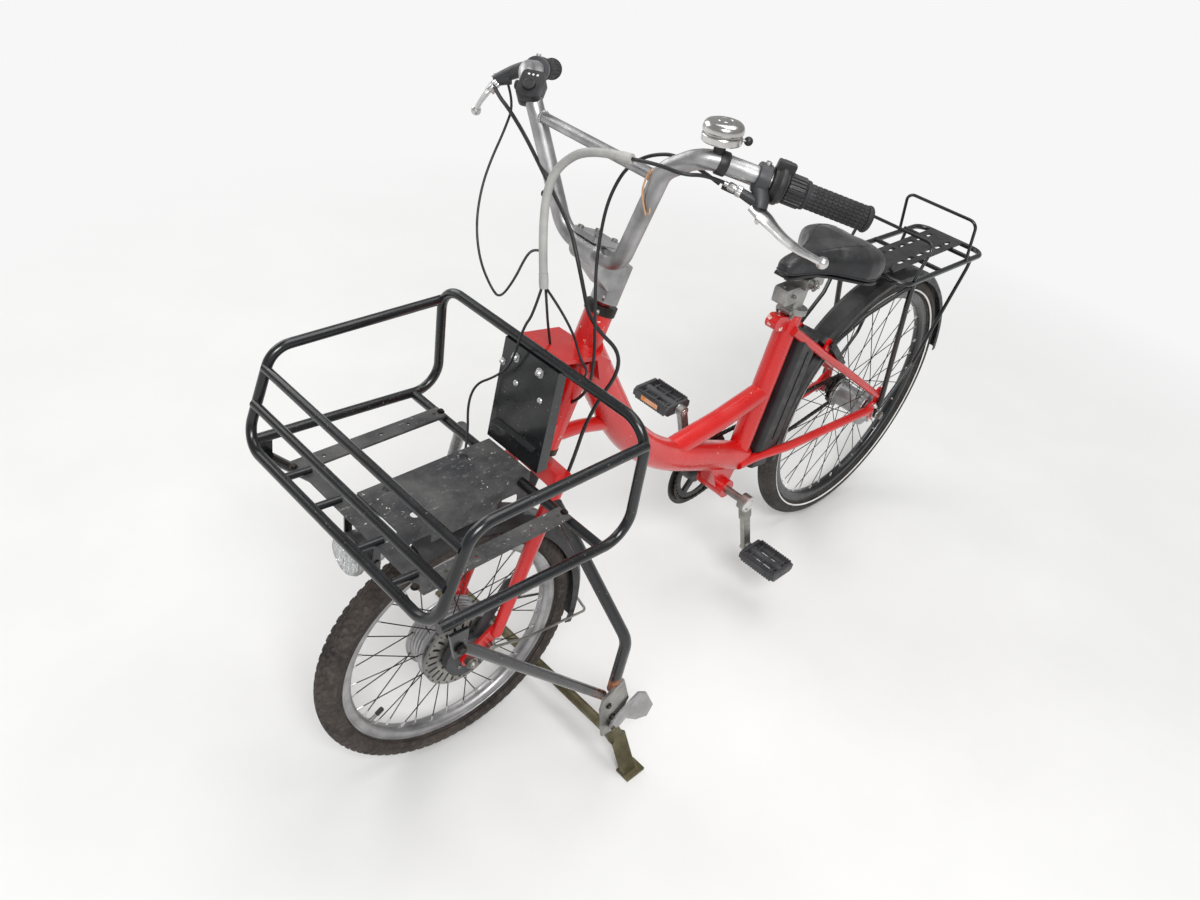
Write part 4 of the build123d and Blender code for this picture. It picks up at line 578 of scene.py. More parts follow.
def tread_front(row_arc, turn):
    """Depth of the front tyre's pattern, from the way across and along the tread."""
    side = abs(row_arc)
    along = FRONT_PITCHES * turn / (2 * math.pi) + (0.5 if row_arc < 0 else 0.0)
    share = along % 1.0
    wave = 1.3 * abs(2 * share - 1)
    if side < 2.2 or side > 30:
        return 0.0
    if side < 4.2:
        return -1.8
    if side < 11.8 + wave:
        return -2.0 if (along + side / 17) % 1.0 < 0.3 else 0.0
    if side < 15.0 + wave:
        return -2.4
    return -2.4 if (along + 0.4) % 1.0 < 0.42 else 0.0


def tread_rear(row_arc, turn):
    """Depth of the rear tyre's pattern."""
    side = abs(row_arc)
    along = REAR_PITCHES * turn / (2 * math.pi) + (0.5 if row_arc < 0 else 0.0)
    if side > 21:
        return 0.0
    if 4.0 < side < 6.0 or 13.0 < side < 14.6:
        return -1.2
    if side < 4.0:
        return 0.0
    return -1.2 if (along - side / 26) % 1.0 < 0.3 else 0.0


def tyre_solid(radius, width, bead_r, steps, tread):
    """Tyre from bead to bead with its tread cut in."""
    half = width / 2
    middle = radius - half
    degrees = [122, 113, 104, 96, 90, 84, 79, 75] + [d * 3.6 for d in range(20, 0, -1)]
    degrees = degrees + [0.0] + [-d for d in reversed(degrees)]
    bead = [(bead_r - 1.5, 12.6), (bead_r + 3.0, 13.4), (bead_r + 7.0, 16.2)]
    profile = bead[:]
    arcs = [None] * len(profile)
    for degree in degrees:
        a = math.radians(degree)
        profile.append((middle + half * math.cos(a), half * math.sin(a)))
        arcs.append(half * a)
    profile += [(r, -z) for r, z in reversed(bead)]
    arcs += [None] * len(bead)

    def depth(row, turn):
        return 0.0 if arcs[row] is None else tread(arcs[row], turn)

    return lathed(profile, steps, closed=True, height=depth)


def sidewall_ring(radius, width, at_degrees, raised, rise_to):
    """Moulded ring on both sidewalls, from one section angle to another."""
    half = width / 2
    middle = radius - half
    rings = []
    for side in SIDES:
        profile = []
        for grown in (0.0, raised):
            row = [math.radians(at_degrees + (rise_to - at_degrees) * n / 3) for n in range(4)]
            if grown:
                row.reverse()
            profile += [(middle + (half + grown) * math.cos(a), side * (half + grown) * math.sin(a)) for a in row]
        rings.append(lathed(profile, 180, closed=True))
    return rings


def rim_solid(radius, depth, width):
    """Box rim with rolled lips, a flat track and an inner side for the spoke holes."""
    half = width / 2
    lip = [(-4, half - 2.8), (1.0, half - 2.2), (1.7, half - 1.2), (1.0, half - 0.2), (-0.6, half), (-2.6, half - 0.3),
           (-3.4, half - 1.3), (-depth * 0.6, half - 1.3), (-depth * 0.76, half * 0.8), (-depth * 0.92, half * 0.55),
           (-depth, half * 0.3)]
    side = [(radius + r, z) for r, z in lip]
    return lathed(side + [(r, -z) for r, z in reversed(side)], 180, closed=True)


def add_spokes(spokes, nipples, flange_mid, flange_t, hole_r, crossing, rim_inner):
    """Crossed spokes with bent heads in the flanges, and nipples in the rim."""
    step = 2 * math.pi / SPOKE_COUNT
    for number in range(SPOKE_COUNT):
        side = 1 if number % 2 == 0 else -1
        lead = 1 if (number // 2) % 2 == 0 else -1
        rim_turn = -step * number
        hub_turn = rim_turn - lead * math.radians(crossing)
        middle = flange_mid[0] if side > 0 else flange_mid[1]
        out = lead * (flange_t / 2 + 1.2)
        hole = Vector((hole_r * math.cos(hub_turn), hole_r * math.sin(hub_turn), middle))
        end = Vector((rim_inner * math.cos(rim_turn), rim_inner * math.sin(rim_turn), side * 2.0))
        bend = hole + Vector((0, 0, out))
        toward = (end - bend).normalized()
        head = hole - Vector((0, 0, lead * (flange_t / 2 + 0.4)))
        line = [head, hole + Vector((0, 0, out * 0.7)), bend + toward * 1.2, bend + toward * 14, end]
        spokes.add(swept(line, 1.0, 8))
        cap = [(1.9, 0), (1.9, 0.5), (1.3, 1.1), (0, 1.3)]
        spokes.add(lathed(cap, 10), facing(head / 1000, (0, 0, -lead)))
        body = [(1.5, -11), (1.9, -10.5), (1.9, -4), (2.5, -3.4), (2.5, 1.0), (0, 1.0)]
        nipples.add(lathed(body, 12), facing(end / 1000, toward))


def dotted_ring(shape, kind, size, count, ring_r, level, up=1, start=0.0):
    """Fasteners evenly round the wheel's axle."""
    for number in range(count):
        turn = start + 2 * math.pi * number / count
        place = Vector((ring_r * math.cos(turn), ring_r * math.sin(turn), level)) / 1000
        add_fasteners(shape, [(kind, size, place, (0, 0, up))])
    return shape


FRONT_PITCHES, REAR_PITCHES = 84, 140
SPOKE_COUNT = 36

# Radius, width, rim radius, steps and tread; then each sidewall ring's angles, height and material
TYRES = (
    ("front", FRONT_WHEEL, (FRONT_R, 48.0, 210.0, FRONT_PITCHES * 10, tread_front),
     ((96, 0.5, 100, 0), (112, 0.6, 115, 0))),
    ("rear", REAR_WHEEL, (REAR_R, 44.0, 286.0, REAR_PITCHES * 6, tread_rear),
     ((97, 0.5, 101, 0), (108, 0.5, 118, 1))),
)
for name, wheel, sizes, rings in TYRES:
    made_tyre = Shape().add(tyre_solid(*sizes))
    for at_degrees, raised, rise_to, mark in rings:
        for ring in sidewall_ring(*sizes[:2], at_degrees, raised, rise_to):
            made_tyre.add(ring, None, mark)
    more = ["white_plastic"] if name == "rear" else ()
    piece(f"tyre_{name}_tread", made_tyre.turned(wheel), "tyre", f"{name}_wheel", [f"{name}_tyre"], 24, more)
bpy.data.objects["tyre_front_tread"].data.materials[0] = MATERIALS["dusty_tyre"]

for name, wheel, body, rim_slot, sizes, hub in (
    ("front", FRONT_WHEEL, "front_wheel", "satin_alloy", (210.0, 19.0, 29.0), ((15.5, -25.5), 5.0, 68.0, 16)),
    ("rear", REAR_WHEEL, "rear_wheel", "black_paint", (286.0, 20.0, 27.0), ((31.0, -31.0), 4.0, 33.5, 62)),
):
    rim_inner = sizes[0] - sizes[1]
    lace, ends = Shape(), Shape()
    add_spokes(lace, ends, *hub, rim_inner)
    piece(f"rim_{name}_profile", Shape().add(rim_solid(*sizes)).turned(wheel), rim_slot, body, [f"{name}_rim"])
    piece(f"spokes_{name}_laced", lace.turned(wheel), "dark_steel", body, [f"{name}_spokes"], 50)
    piece(f"nipples_{name}", ends.turned(wheel), "bright_alloy", body)

valve = Shape()
VALVE_TURN = math.radians(36)
valve_out = Vector((math.cos(VALVE_TURN), math.sin(VALVE_TURN), 0))
stem_at = facing(valve_out * 0.19, -valve_out)
valve.add(lathed([(0, -4), (4.5, -4), (4.5, 1), (3.2, 1.5), (3.2, 14), (0, 14)], 20), stem_at)
cap = [(4.2, 13), (4.4, 15), (4.4, 25), (3.8, 27), (2.4, 28), (0, 28)]
valve.add(lathed(cap, 20, height=ribs(0.25, 10, range(len(cap)))), stem_at, 1)
piece("valve_front", valve.turned(FRONT_WHEEL), "plain_steel", "front_wheel", (), 32, ["black_plastic"])

# Hub motor: the drum's grooves, the flanges with their holes and the screwed side covers
drum = [(6.3, -47), (20, -47), (22.5, -46), (25, -41.5), (27, -40.3), (43, -37.6), (45, -36.8), (60, -34.4),
        (63, -33.2), (70.5, -29.6), (72.4, -28.4), (73, -27.2), (73, -24), (72.2, -23), (70, -22.4), (68, -21)]
for groove in (-15, -7, 1):
    drum += [(68, groove - 0.4), (67.5, groove), (65.3, groove + 0.8), (65, groove + 1.6), (65, groove + 3.4),
             (65.3, groove + 4.2), (67.5, groove + 5), (68, groove + 5.4)]
drum += [(68, 10.4), (70, 11.8), (72.2, 12.6), (73, 13.6), (73, 17), (72.4, 18.2), (70, 19.4), (62, 22.8), (60, 23.2),
         (41, 24.9), (39, 25), (6.3, 25)]
motor = Shape().add(lathed(drum, 144))
dotted_ring(motor, "socket", 3.2, 8, 53.5, -36.6, -1, 0.2)
dotted_ring(motor, "socket", 3.2, 8, 53.0, 22.6, 1, 0.4)
for level in (-25.5, 15.5):
    for side in SIDES:
        dotted_ring(motor, "round", 1.6, 18, 69.5, level + side * 2.4, side, 0.17)
piece("hub_motor_drum", motor.turned(FRONT_WHEEL), "satin_alloy", "front_wheel", ["hub_motor"], 30)

rivets = Shape()
dotted_ring(rivets, "round", 2.4, 12, 42, 33.2, 1)
dotted_ring(rivets, "round", 1.5, 24, 68.5, 33.2, 1, 0.13)
piece("brake_disc_rivets", rivets.turned(FRONT_WHEEL), "dark_steel", "front_wheel")

hub = [(5.4, -36), (16, -36), (18, -38.5), (24, -38.5), (26, -36), (30, -36), (35.5, -33.6), (37, -32), (37, -30.2),
       (35.6, -29), (31.4, -27.2), (30.2, -25), (29.4, -18), (29, -12), (29, 12), (29.4, 18), (30.2, 25), (31.4, 27.2),
       (35.6, 29), (37, 30.2), (37, 32), (35.6, 33.4), (34, 36), (38, 37), (44, 38), (45, 39.4), (45, 52), (43.6, 54),
       (36, 55.6), (34.6, 54.6), (31, 54.8), (29, 57.6), (27, 58), (5.4, 58)]
gear = Shape().add(lathed(hub, 96, height=ribs(0.5, 30, (25, 26, 27))))
dotted_ring(gear, "round", 2.0, 6, 40, 54.9, 1)
piece("rear_hub_shell", gear.turned(REAR_WHEEL), "satin_alloy", "rear_wheel", ["rear_hub"], 30)


# Handlebar and its controls, drawn straight ahead and then steered

def smooth_points(rows, steps=8):
    """Points and sizes along a smooth line, from rows of (place in metres, size or (wide, thick))."""
    line = smooth_line([row[0] for row in rows], steps)
    sizes = [row[1] if isinstance(row[1], tuple) else (row[1],) * 2 for row in rows]
    found = []
    for number in range(len(line)):
        share = number / (len(line) - 1) * (len(rows) - 1)
        low = min(int(share), len(rows) - 2)
        part = share - low
        found.append(tuple(a + (b - a) * part for a, b in zip(sizes[low], sizes[low + 1])))
    return [p * 1000 for p in line], found


def add_smooth(shape, rows, sides, up=None, steps=8):
    """Add a rod along a smooth line, from rows of (place on the bar, size)."""
    line, sizes = smooth_points([(on_bar(*place), size) for place, size in rows], steps)
    shape.add(swept(line, sizes, sides, up))


BAR_TIP, BAR_TURN = on_bar(-156, 330, 151), on_bar(-34, 217, 189)
INWARD = (BAR_TURN - BAR_TIP).normalized()
BAR_END = facing(BAR_TIP, INWARD)
BAR_END_RIGHT = MIRROR @ BAR_END


def grip_solid(length):
    """Grip with square pads between grooves, a rim at each end and a closed tip."""
    profile = [(0, -3), (11, -3), (14, -2.6), (16, -1), (17, 0.6), (17.2, 3), (16.6, 4.6), (15, 5.4)]
    pads_from = len(profile)
    level = 6.0
    while level < length - 11:
        profile.append((15.9, level))
        level += 1.4
    pads_to = len(profile)
    end = length - 3
    profile += [(15.2, end - 6.4), (15.2, end - 5.6), (17.6, end - 5), (18.2, end - 3.6), (18.2, end - 1), (17.4, end),
                (12.8, end)]

    def pads(row, turn):
        if not pads_from <= row < pads_to:
            return 0.0
        across = (GRIP_PADS * turn / (2 * math.pi)) % 1.0 < 0.26
        along = (row - pads_from) % 5 >= 4
        return -1.1 if across or along else 0.0

    return lathed(profile, GRIP_PADS * 5, height=pads)


GRIP_PADS = 20
grips = Shape().add(grip_solid(92.0), BAR_END).add(grip_solid(118.0), BAR_END_RIGHT)
piece("grips_waffle", grips.turned(STEER), "grip_rubber", "steering", ["grips"], 25)

# Twist shifter: ribbed barrel, stepped housing with its gear window, and cable outlet
barrel = [(13, 89.3), (18.4, 89.3), (19.4, 90.4)]
barrel += [(19.8, 91.6 + n * 2.2) for n in range(10)] + [(19.2, 112.6), (13, 113)]
BARREL_GROOVES = 24


def barrel_height(row, turn):
    return -1.5 if 2 < row < 13 and (BARREL_GROOVES * turn / (2 * math.pi)) % 1 < 0.34 else 0.0


shifter = Shape().add(lathed(barrel, 144, height=barrel_height), BAR_END)
housing = [(13, 113.6), (20, 113.6), (21.4, 114.6), (22, 117), (24.4, 118.4), (25.2, 120.4), (25.2, 124.4),
           (24.2, 126.2), (22.6, 127.4), (20.8, 130), (20, 132.6), (17, 133.4), (13, 133.4)]
shifter.add(lathed(housing, 72), BAR_END)
shifter.add(block(24, 17, 14, 3), BAR_END @ shift(0, 22, 122) @ rotation(90, "Y"))
shifter.add(block(13, 10, 1.6, 0.6), BAR_END @ shift(0, 29.6, 122) @ rotation(90, "X"), 1)
add_smooth(shifter, [((-48, 214, 158), 5.5), ((-40, 203, 158), 5.0), ((-31, 193, 161), 3.6)], 14)
piece("twist_shifter_barrel", shifter.turned(STEER), "black_plastic", "steering", ["twist_shifter"], 28,
      ["grey_plastic"])

# Brake perches, adjusters and levers. The right one is turned forward about the bar, as photographed.
perches, bright, levers = Shape(), Shape(), Shape()
clamp = [(13, 136), (18, 136), (19, 137), (19, 151), (18, 152), (13, 152)]
# For each brake: its end of the bar, arm, cable barrel, adjuster, blade, the blade's ball and the pivot
BRAKES = (
    (
        BAR_END,
        [((-52, 226, 186), (11, 8)), ((-48, 240, 176), (12.5, 9)), ((-42, 250, 160), (11.5, 9)),
         ((-39, 253, 153), (9.5, 8))],
        [((-42, 252, 158), 8.0), ((-34, 240, 161), 7.0), ((-28, 229, 166), 6.0)],
        ((-28, 229, 166), (-16, 208, 173)),
        [((-33, 243, 154), (8.0, 4.5)), ((-38, 250, 150), (13.0, 5.0)), ((-44, 262, 143), (12.5, 5.2)),
         ((-50, 273, 134), (9.6, 4.6)), ((-60, 287, 122), (8.6, 4.2)), ((-76, 301, 111), (7.6, 4.0)),
         ((-92, 311, 103), (5.4, 3.8)), ((-102, 316, 98), (4.8, 4.4))],
        ((-104, 318, 97), (-0.6, 0.5, -0.4)),
        (-40, 253, 149),
    ),
    (
        BAR_END_RIGHT,
        [((-46, -224, 188), (12, 10)), ((-34, -234, 186), (13, 11)), ((-16, -250, 176), (12, 10)),
         ((0, -266, 162), (9, 8))],
        [((-14, -246, 168), 8.0), ((-4, -256, 164), 7.0), ((2, -263, 160), 6.5)],
        ((0, -260, 161), (10, -262, 151)),
        [((-2, -262, 164), (7.0, 5.0)), ((1, -268, 156), (10.5, 5.4)), ((3, -275, 147), (9.0, 5.2)),
         ((3, -284, 136), (7.4, 4.6)), ((2, -296, 124), (6.4, 4.2)), ((0, -307, 113), (5.2, 4.0)),
         ((-3, -315, 104), (4.6, 4.2))],
        ((-3, -317, 101), (-0.1, -0.6, -0.8)),
        (1, -267, 157),
    ),
)
thumbwheel = [(0, 0), (6.4, 0), (6.8, 0.8), (6.8, 6), (6.2, 7), (3.6, 7), (3.6, 8.5), (5.4, 9), (5.4, 17),
              (4.6, 18.5), (3.2, 19), (3.2, 24), (0, 24)]
for place, arm, barrel_line, adjuster, blade, ball_at, pivot in BRAKES:
    perches.add(lathed(clamp, 40), place)
    for rows in (arm, barrel_line):
        add_smooth(perches, rows, 20, (0, 0, 1))
    start, toward = (on_bar(*row) for row in adjuster)
    bright.add(lathed(thumbwheel, 48, height=ribs(0.45, 16, (2, 3))), facing(start, toward - start))
    for kind, size, up in (("round", 5, 1), ("nut", 4, -1)):
        add_fasteners(bright, [(kind, size, on_bar(*pivot) + Vector((0, 0, up * 0.0105)), (0.12, 0.1, up))])
    clamp_seat = place @ Vector((0.0, 0.0185, 0.144))
    add_fasteners(bright, [("socket", 4, clamp_seat, clamp_seat - place @ Vector((0, 0, 0.144)))])
    add_smooth(levers, blade, 24, (0.2, 0.2, 1), 10)
    levers.add(lathed(ball(8), 32), facing(on_bar(*ball_at[0]), ball_at[1]))
perches.add(block(16, 12, 14, 3), BAR_END_RIGHT @ shift(4, -22, 132))
piece("perches_cast", perches.turned(STEER), "grey_plastic", "steering", ["brake_perches"], 35)
piece("perch_fittings", bright.turned(STEER), "bright_alloy", "steering")
piece("levers_polished", levers.turned(STEER), "bright_alloy", "steering", ["brake_levers"], 50)

# Bell
bell_at = on_bar(-9, 197, 198)
up_here = Matrix.Translation(bell_at)
dome = [(0, 22), (22, 22), (24.4, 22.6), (25.2, 24), (25.2, 30.6), (24.6, 31.6), (22.8, 32.4), (22.6, 33.6),
        (24.6, 34.6), (25.5, 36), (25.5, 40), (24.9, 42.6), (23.4, 45), (20.8, 47), (17, 48), (10, 48.4), (9.4, 47.6),
        (8.6, 47.6), (8, 48.5), (0, 48.8)]
bell = Shape().add(lathed(dome, 72), up_here)
bell.add(lathed([(0, 0), (8.5, 0), (9.2, 2), (8, 6), (7.4, 16), (8.4, 20), (9.5, 22), (0, 22)], 32), up_here, 1)
strap = lathed([(12.8, -6), (14.8, -6), (15.2, -5), (15.2, 5), (14.8, 6), (12.8, 6)], 40)
bar_dir = (on_bar(-34, 217, 189) - on_bar(5, 186, 201)).normalized()
bell.add(strap, facing(on_bar(-14, 201, 195), bar_dir), 1)
add_smooth(bell, [((-21, 205, 223), (5, 2)), ((-29, 210, 226), (4.4, 1.8)), ((-36, 215, 224), (3, 1.6))], 12, (0, 0, 1))
bell.add(lathed(ball(5.6), 24), Matrix.Translation(on_bar(-37, 215, 224)), 1)
piece("bell_dome", bell.turned(STEER), "chrome", "steering", ["bell"], 28, ["black_plastic"])

# Switch box on the right riser, with three lamps and its side knob
box_at = Matrix.Translation(on_bar(18, -150, 184)) @ rotation(34, "Z") @ rotation(38, "Y")
corner = [math.radians(d) for d in range(0, 91, 15)]
outline = []
for cx, cy, first in ((14, 9, 0), (-14, 9, 90), (-14, -9, 180), (14, -9, 270)):
    turns = [a + math.radians(first) for a in corner]
    outline += [(cx + 8 * math.cos(a), cy + 8 * math.sin(a)) for a in turns]
switch = Shape().add(extruded(outline, -13, -2.2, 1.2), box_at).add(extruded(outline, -1.8, 13, 1.6), box_at)
switch.add(extruded([(x * 0.95, y * 0.95) for x, y in outline], -3, -1, 0), box_at)
pad = [(0, 13), (9.4, 13), (9.4, 16), (8.6, 17.6), (7.4, 18), (6.6, 17.4), (0, 17.2)]
switch.add(lathed(pad, 40), box_at @ shift(4, 0, 0))
knob = lathed([(0, 0), (6, 0), (6.6, 1), (6.6, 6), (5.8, 7.4), (0, 7.8)], 36, height=ribs(0.4, 14, (2, 3)))
switch.add(knob, box_at @ shift(0, -16.6, 2) @ rotation(90, "X"))
for step in (-1, 0, 1):
    switch.add(lathed([(0, 0), (1.8, 0), (1.6, 0.5), (0, 0.8)], 16), box_at @ shift(-14, step * 6.5, 12.9), 1)
ring = lathed([(12.8, -7), (16.6, -7), (17.2, -6), (17.2, 6), (16.6, 7), (12.8, 7)], 40)
riser = (on_bar(5, -186, 201) - on_bar(20, -138, 168)).normalized()
switch.add(ring, facing(on_bar(14, -158, 182), riser))
piece("switch_box_shell", switch.turned(STEER), "black_plastic", "steering", ["switch_box"], 32, ["white_plastic"])

# Stem: four cap bolts, the seam under the cap, pinch bolts, and welds on the handlebar's brace
head_up = Vector((-math.sin(HEAD_TILT), 0, math.cos(HEAD_TILT)))
head_ahead = Vector((math.cos(HEAD_TILT), 0, math.sin(HEAD_TILT)))
stem = Shape()
for ahead in (-18, 18):
    for y in (-19, 19):
        stem_seat = on_bar(0, y, 0) + head_ahead * (ahead / 1000) + head_up * 0.0226
        add_fasteners(stem, [("socket", 4.6, stem_seat, head_up)])
cap_frame = Matrix((head_ahead, Vector((0, 1, 0)), head_up)).transposed().to_4x4()
seam = Matrix.Translation(on_bar(0, 0, 0) + head_up * 0.0145) @ cap_frame
stem.add(block(49, 53, 1.6, 0.6), seam, 1)
for drop in (14, 38):
    bolt_seat = on_bar(0, 0, 0) - head_up * (0.052 + drop / 1000) - head_ahead * 0.03
    add_fasteners(stem, [("socket", 4.5, bolt_seat + Vector((-0.012, 0.018, 0)), (-0.6, 0.8, -0.2))])
piece("stem_bolts", stem.turned(STEER), "plain_steel", "steering", (), 32, ["dark_steel"])


def weld_ring(radius, thick, ripples):
    """Rippled weld bead round a tube that runs along z."""
    line = []
    for step in range(ripples * 3):
        turn = 2 * math.pi * step / (ripples * 3)
        swell = math.cos(ripples * turn)
        out = radius + 0.35 * swell
        line.append((out * math.cos(turn), out * math.sin(turn), 0.5 * swell))
    return swept(line, thick, 8, (0, 0, 1), closed=True)


welds = Shape()
for side in (Matrix(), MIRROR):
    welds.add(weld_ring(8.4, 1.6, 18), side @ facing(on_bar(17, 117, 154), (0, 1, 0)))
piece("brace_welds", welds.turned(STEER), "satin_alloy", "steering")

plug = Shape()
plug_seat = facing(at(1001, -98, 985), (0.75, 0.6, 0.3))
plug.add(lathed([(0, 0), (5.6, 0), (6, 0.8), (5.4, 2.2), (4, 2.8), (0, 3)], 24), plug_seat)
piece("riser_plug", plug.turned(STEER), "black_plastic", "steering")

ties = Shape()
for start, sway in ((at(1012, 121, 1086), 1), (at(1008, 127, 1087), -1)):
    drop = ((0, 0, 0.012), (0.006, 0, 0), (0.004 * sway, -0.003, -0.022), (-0.004, 0.002 * sway, -0.046))
    cable(ties, [start + Vector(move) for move in drop], 1.3, 8)
tie_turns = [math.radians(d) for d in range(0, 360, 12)]
for level in (-2.2, 0, 2.2):
    tie_loop = [(9.4 * math.cos(a), 9.4 * math.sin(a), 0.6 * math.sin(3 * a) + level) for a in tie_turns]
    ties.add(swept(tie_loop, 1.2, 8, (0, 0, 1), closed=True), facing(at(1001, 122, 1090), (0, 1, 0)))
piece("tan_ties", ties.turned(STEER), "tan_tie", "steering")


# Cables, all turned with the steering at its rest angle

SLEEVE = [(46, 104, 174), (56, 35, 167), (74, -6, 130), (88, -7, 91), (96, 7, 26), (96, 18, -25)]
RIGHT_BRAKE = [(5, -262, 157), (11, -240, 148), (14, -205, 138), (14, -159, 112), (26, -90, 79), (41, -4, 39),
               (51, 28, 13), (46, 43, -27), (31, 52, -87), (-30, 80, -150)]
SHIFTER = [(-29, 190, 163), (-9, 137, 184), (-9, 81, 166), (1, 53, 142), (11, 44, 115), (16, 36, 78), (23, 40, 32),
           (29, 47, -4), (38, 66, -52), (28, 72, -155)]
LEFT_BRAKE = [(-16, 208, 173), (7, 198, 182), (36, 188, 182), (46, 150, 184), (46, 104, 174)]
FAR_WIRE = [(-10, -254, 170), (-20, -240, 136), (1, -231, 99), (26, -228, 54), (46, -220, 14), (66, -199, -31),
            (74, -172, -78), (64, -150, -118), (62, -128, -126), (66, -90, -76), (81, -46, -14), (91, -16, 10),
            (95, 4, 16)]
LAMP_WIRE = [(98.5, 20, -25), (111, 20, -72), (116, 8, -94), (116, -14, -171), (126, -40, -203), (141, -66, -224),
             (150, -72, -262), (152, -62, -318), (166, -50, -342)]
BRACKET_WIRE = [(92, 16, -25), (82, 12, -64), (70, 5, -104), (60, 3, -140)]
FRAME_WIRE = [(97, 14, -25), (74, 24, -58), (58, 52, -100), (46, 58, -140), (20, 54, -176), (6, 22, -206)]


def route(rows):
    return [on_bar(*row) for row in rows]


steered_cables = Shape()
cable(steered_cables, route(LEFT_BRAKE), 2.5)
noodle_from, noodle_to = at(1060, 46, 440), at(1108, 41, 376)
brake_line = route(RIGHT_BRAKE) + [at(998, 58, 690), at(1014, 52, 590), noodle_from, noodle_to]
cable(steered_cables, brake_line, 3.0, 12, 10)
noodle = facing(noodle_from, noodle_to - noodle_from)
steered_cables.add(lathed([(3.2, 0), (4.4, 0), (4.4, 20), (3.4, 22), (3.2, 22)], 20), noodle, 1)
piece("brake_cables", steered_cables.turned(STEER), "black_plastic", "steering", (), 60, ["plain_steel"])

sleeve = Shape()
cable(sleeve, route(SLEEVE), 6.0, 16, 12)
piece("sleeve_grey", sleeve.turned(STEER), "pale_plastic", "steering", ["cable_sleeve"], 60)
tape = Shape()
for low, high in (((46, 106, 174.4), (50, 84, 171.6)), ((96, 15.5, -12), (96, 19.5, -33))):
    low, high = on_bar(*low) * 1000, on_bar(*high) * 1000
    tape.add(swept([low, (low + high) / 2, high], [6.6, 6.9, 6.4], 16))
piece("sleeve_tape", tape.turned(STEER), "pale_plastic", "steering")

# Cables that cross the steering, each mesh with two places, low and high, which are not used; the whole mesh is turned
# with the steering
crossing = Shape()
cable(crossing, route(SHIFTER) + [at(1008, 54, 720), at(1003, 18, 688)], 2.5, 10, 10)
for name, shape, wires, replaced, low, high in (
    ("bar_cables_long", crossing, (FAR_WIRE, LAMP_WIRE), ["bar_cables"], at(1010, 0, 690), at(1050, 0, 925)),
    ("bar_cables_short", Shape(), (BRACKET_WIRE, FRAME_WIRE), (), at(1030, 0, 796), at(1050, 0, 915)),
):
    for rows in wires:
        cable(shape, route(rows), 2.0, 8, 8)
    made = piece(name, shape.turned(STEER), "black_plastic", None, replaced, 60)
    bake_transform(made)


# Saddle: a padded cover blown up as cloth over its tray, then its seam and panel

SADDLE_BASE = REAR_R * 2 + 21
SADDLE_STEPS = 40
# Cross sections from back to front: place, half width, bottom and top over the base
SADDLE = [
    (212, 50, 92, 112), (220, 72, 78, 122), (236, 90, 62, 133), (262, 94, 60, 140), (292, 93, 66, 143),
    (326, 74, 76, 140), (360, 53, 84, 135), (392, 39, 88, 132), (420, 31, 90, 130), (446, 26, 92, 129),
    (462, 21, 93, 127), (471, 13, 98, 122),
]


def saddle_section(x, half_w, low, high):
    """One cross section: flat below, its sides full, its top softly crowned with a shallow middle channel."""
    points = []
    middle, half = (low + high) / 2, (high - low) / 2
    for step in range(SADDLE_STEPS):
        turn = 2 * math.pi * step / SADDLE_STEPS
        c, s = math.cos(turn), math.sin(turn)
        y = half_w * math.copysign(abs(c) ** 0.62, c)
        z = middle + half * math.copysign(abs(s) ** (0.72 if s > 0 else 0.5), s)
        if s > 0:
            z -= 1.4 * math.exp(-(y / 12) ** 2) * min(1.0, half_w / 60)
        points.append((x, y, z + SADDLE_BASE))
    return points


def saddle_solid(shrink):
    """Closed saddle through its sections, drawn in on all sides."""
    verts, faces, count = [], [], SADDLE_STEPS
    for x, half_w, low, high in SADDLE:
        verts += saddle_section(x, half_w - shrink, low + shrink, high - shrink)
    for row in range(0, len(verts) - count, count):
        for step in range(count):
            after = (step + 1) % count
            faces.append([row + step, row + after, row + count + after, row + count + step])
    faces += [list(range(count)), list(range(len(verts) - count, len(verts)))]
    return verts, faces


def with_modifiers(made):
    """Replace the piece's mesh by its modified one, its modifiers applied."""
    graph = bpy.context.evaluated_depsgraph_get()
    fresh = bpy.data.meshes.new_from_object(made.evaluated_get(graph))
    made.modifiers.clear()
    old = made.data
    made.data = fresh
    bpy.data.meshes.remove(old)
    fresh.polygons.foreach_set("use_smooth", [True] * len(fresh.polygons))


def blown_up(made, frames=20, pressure=4.0, most_up=7.0, most_down=1.0):
    """Swell a closed mesh as cloth under pressure; no point moves further than most_up, or most_down below."""
    before = [v.co.copy() for v in made.data.vertices]
    normals = [v.normal.copy() for v in made.data.vertices]
    cloth = made.modifiers.new("Cloth", "CLOTH")
    cloth.settings.use_pressure = True
    cloth.settings.uniform_pressure_force = pressure
    cloth.settings.effector_weights.gravity = 0.0
    cloth.settings.quality = 6
    cloth.collision_settings.use_self_collision = False
    scene = bpy.context.scene
    for number in range(1, frames + 1):
        scene.frame_set(number)
    graph = bpy.context.evaluated_depsgraph_get()
    swollen = made.evaluated_get(graph).to_mesh()
    after = [v.co.copy() for v in swollen.vertices]
    made.modifiers.clear()
    scene.frame_set(1)
    for vertex, start, end, normal in zip(made.data.vertices, before, after, normals):
        share = min(1.0, max(0.0, (normal.z + 0.75) / 0.6))
        most = (most_down + (most_up - most_down) * share) / 1000
        move = end - start
        vertex.co = start + move * min(1.0, most / max(move.length, 1e-9))


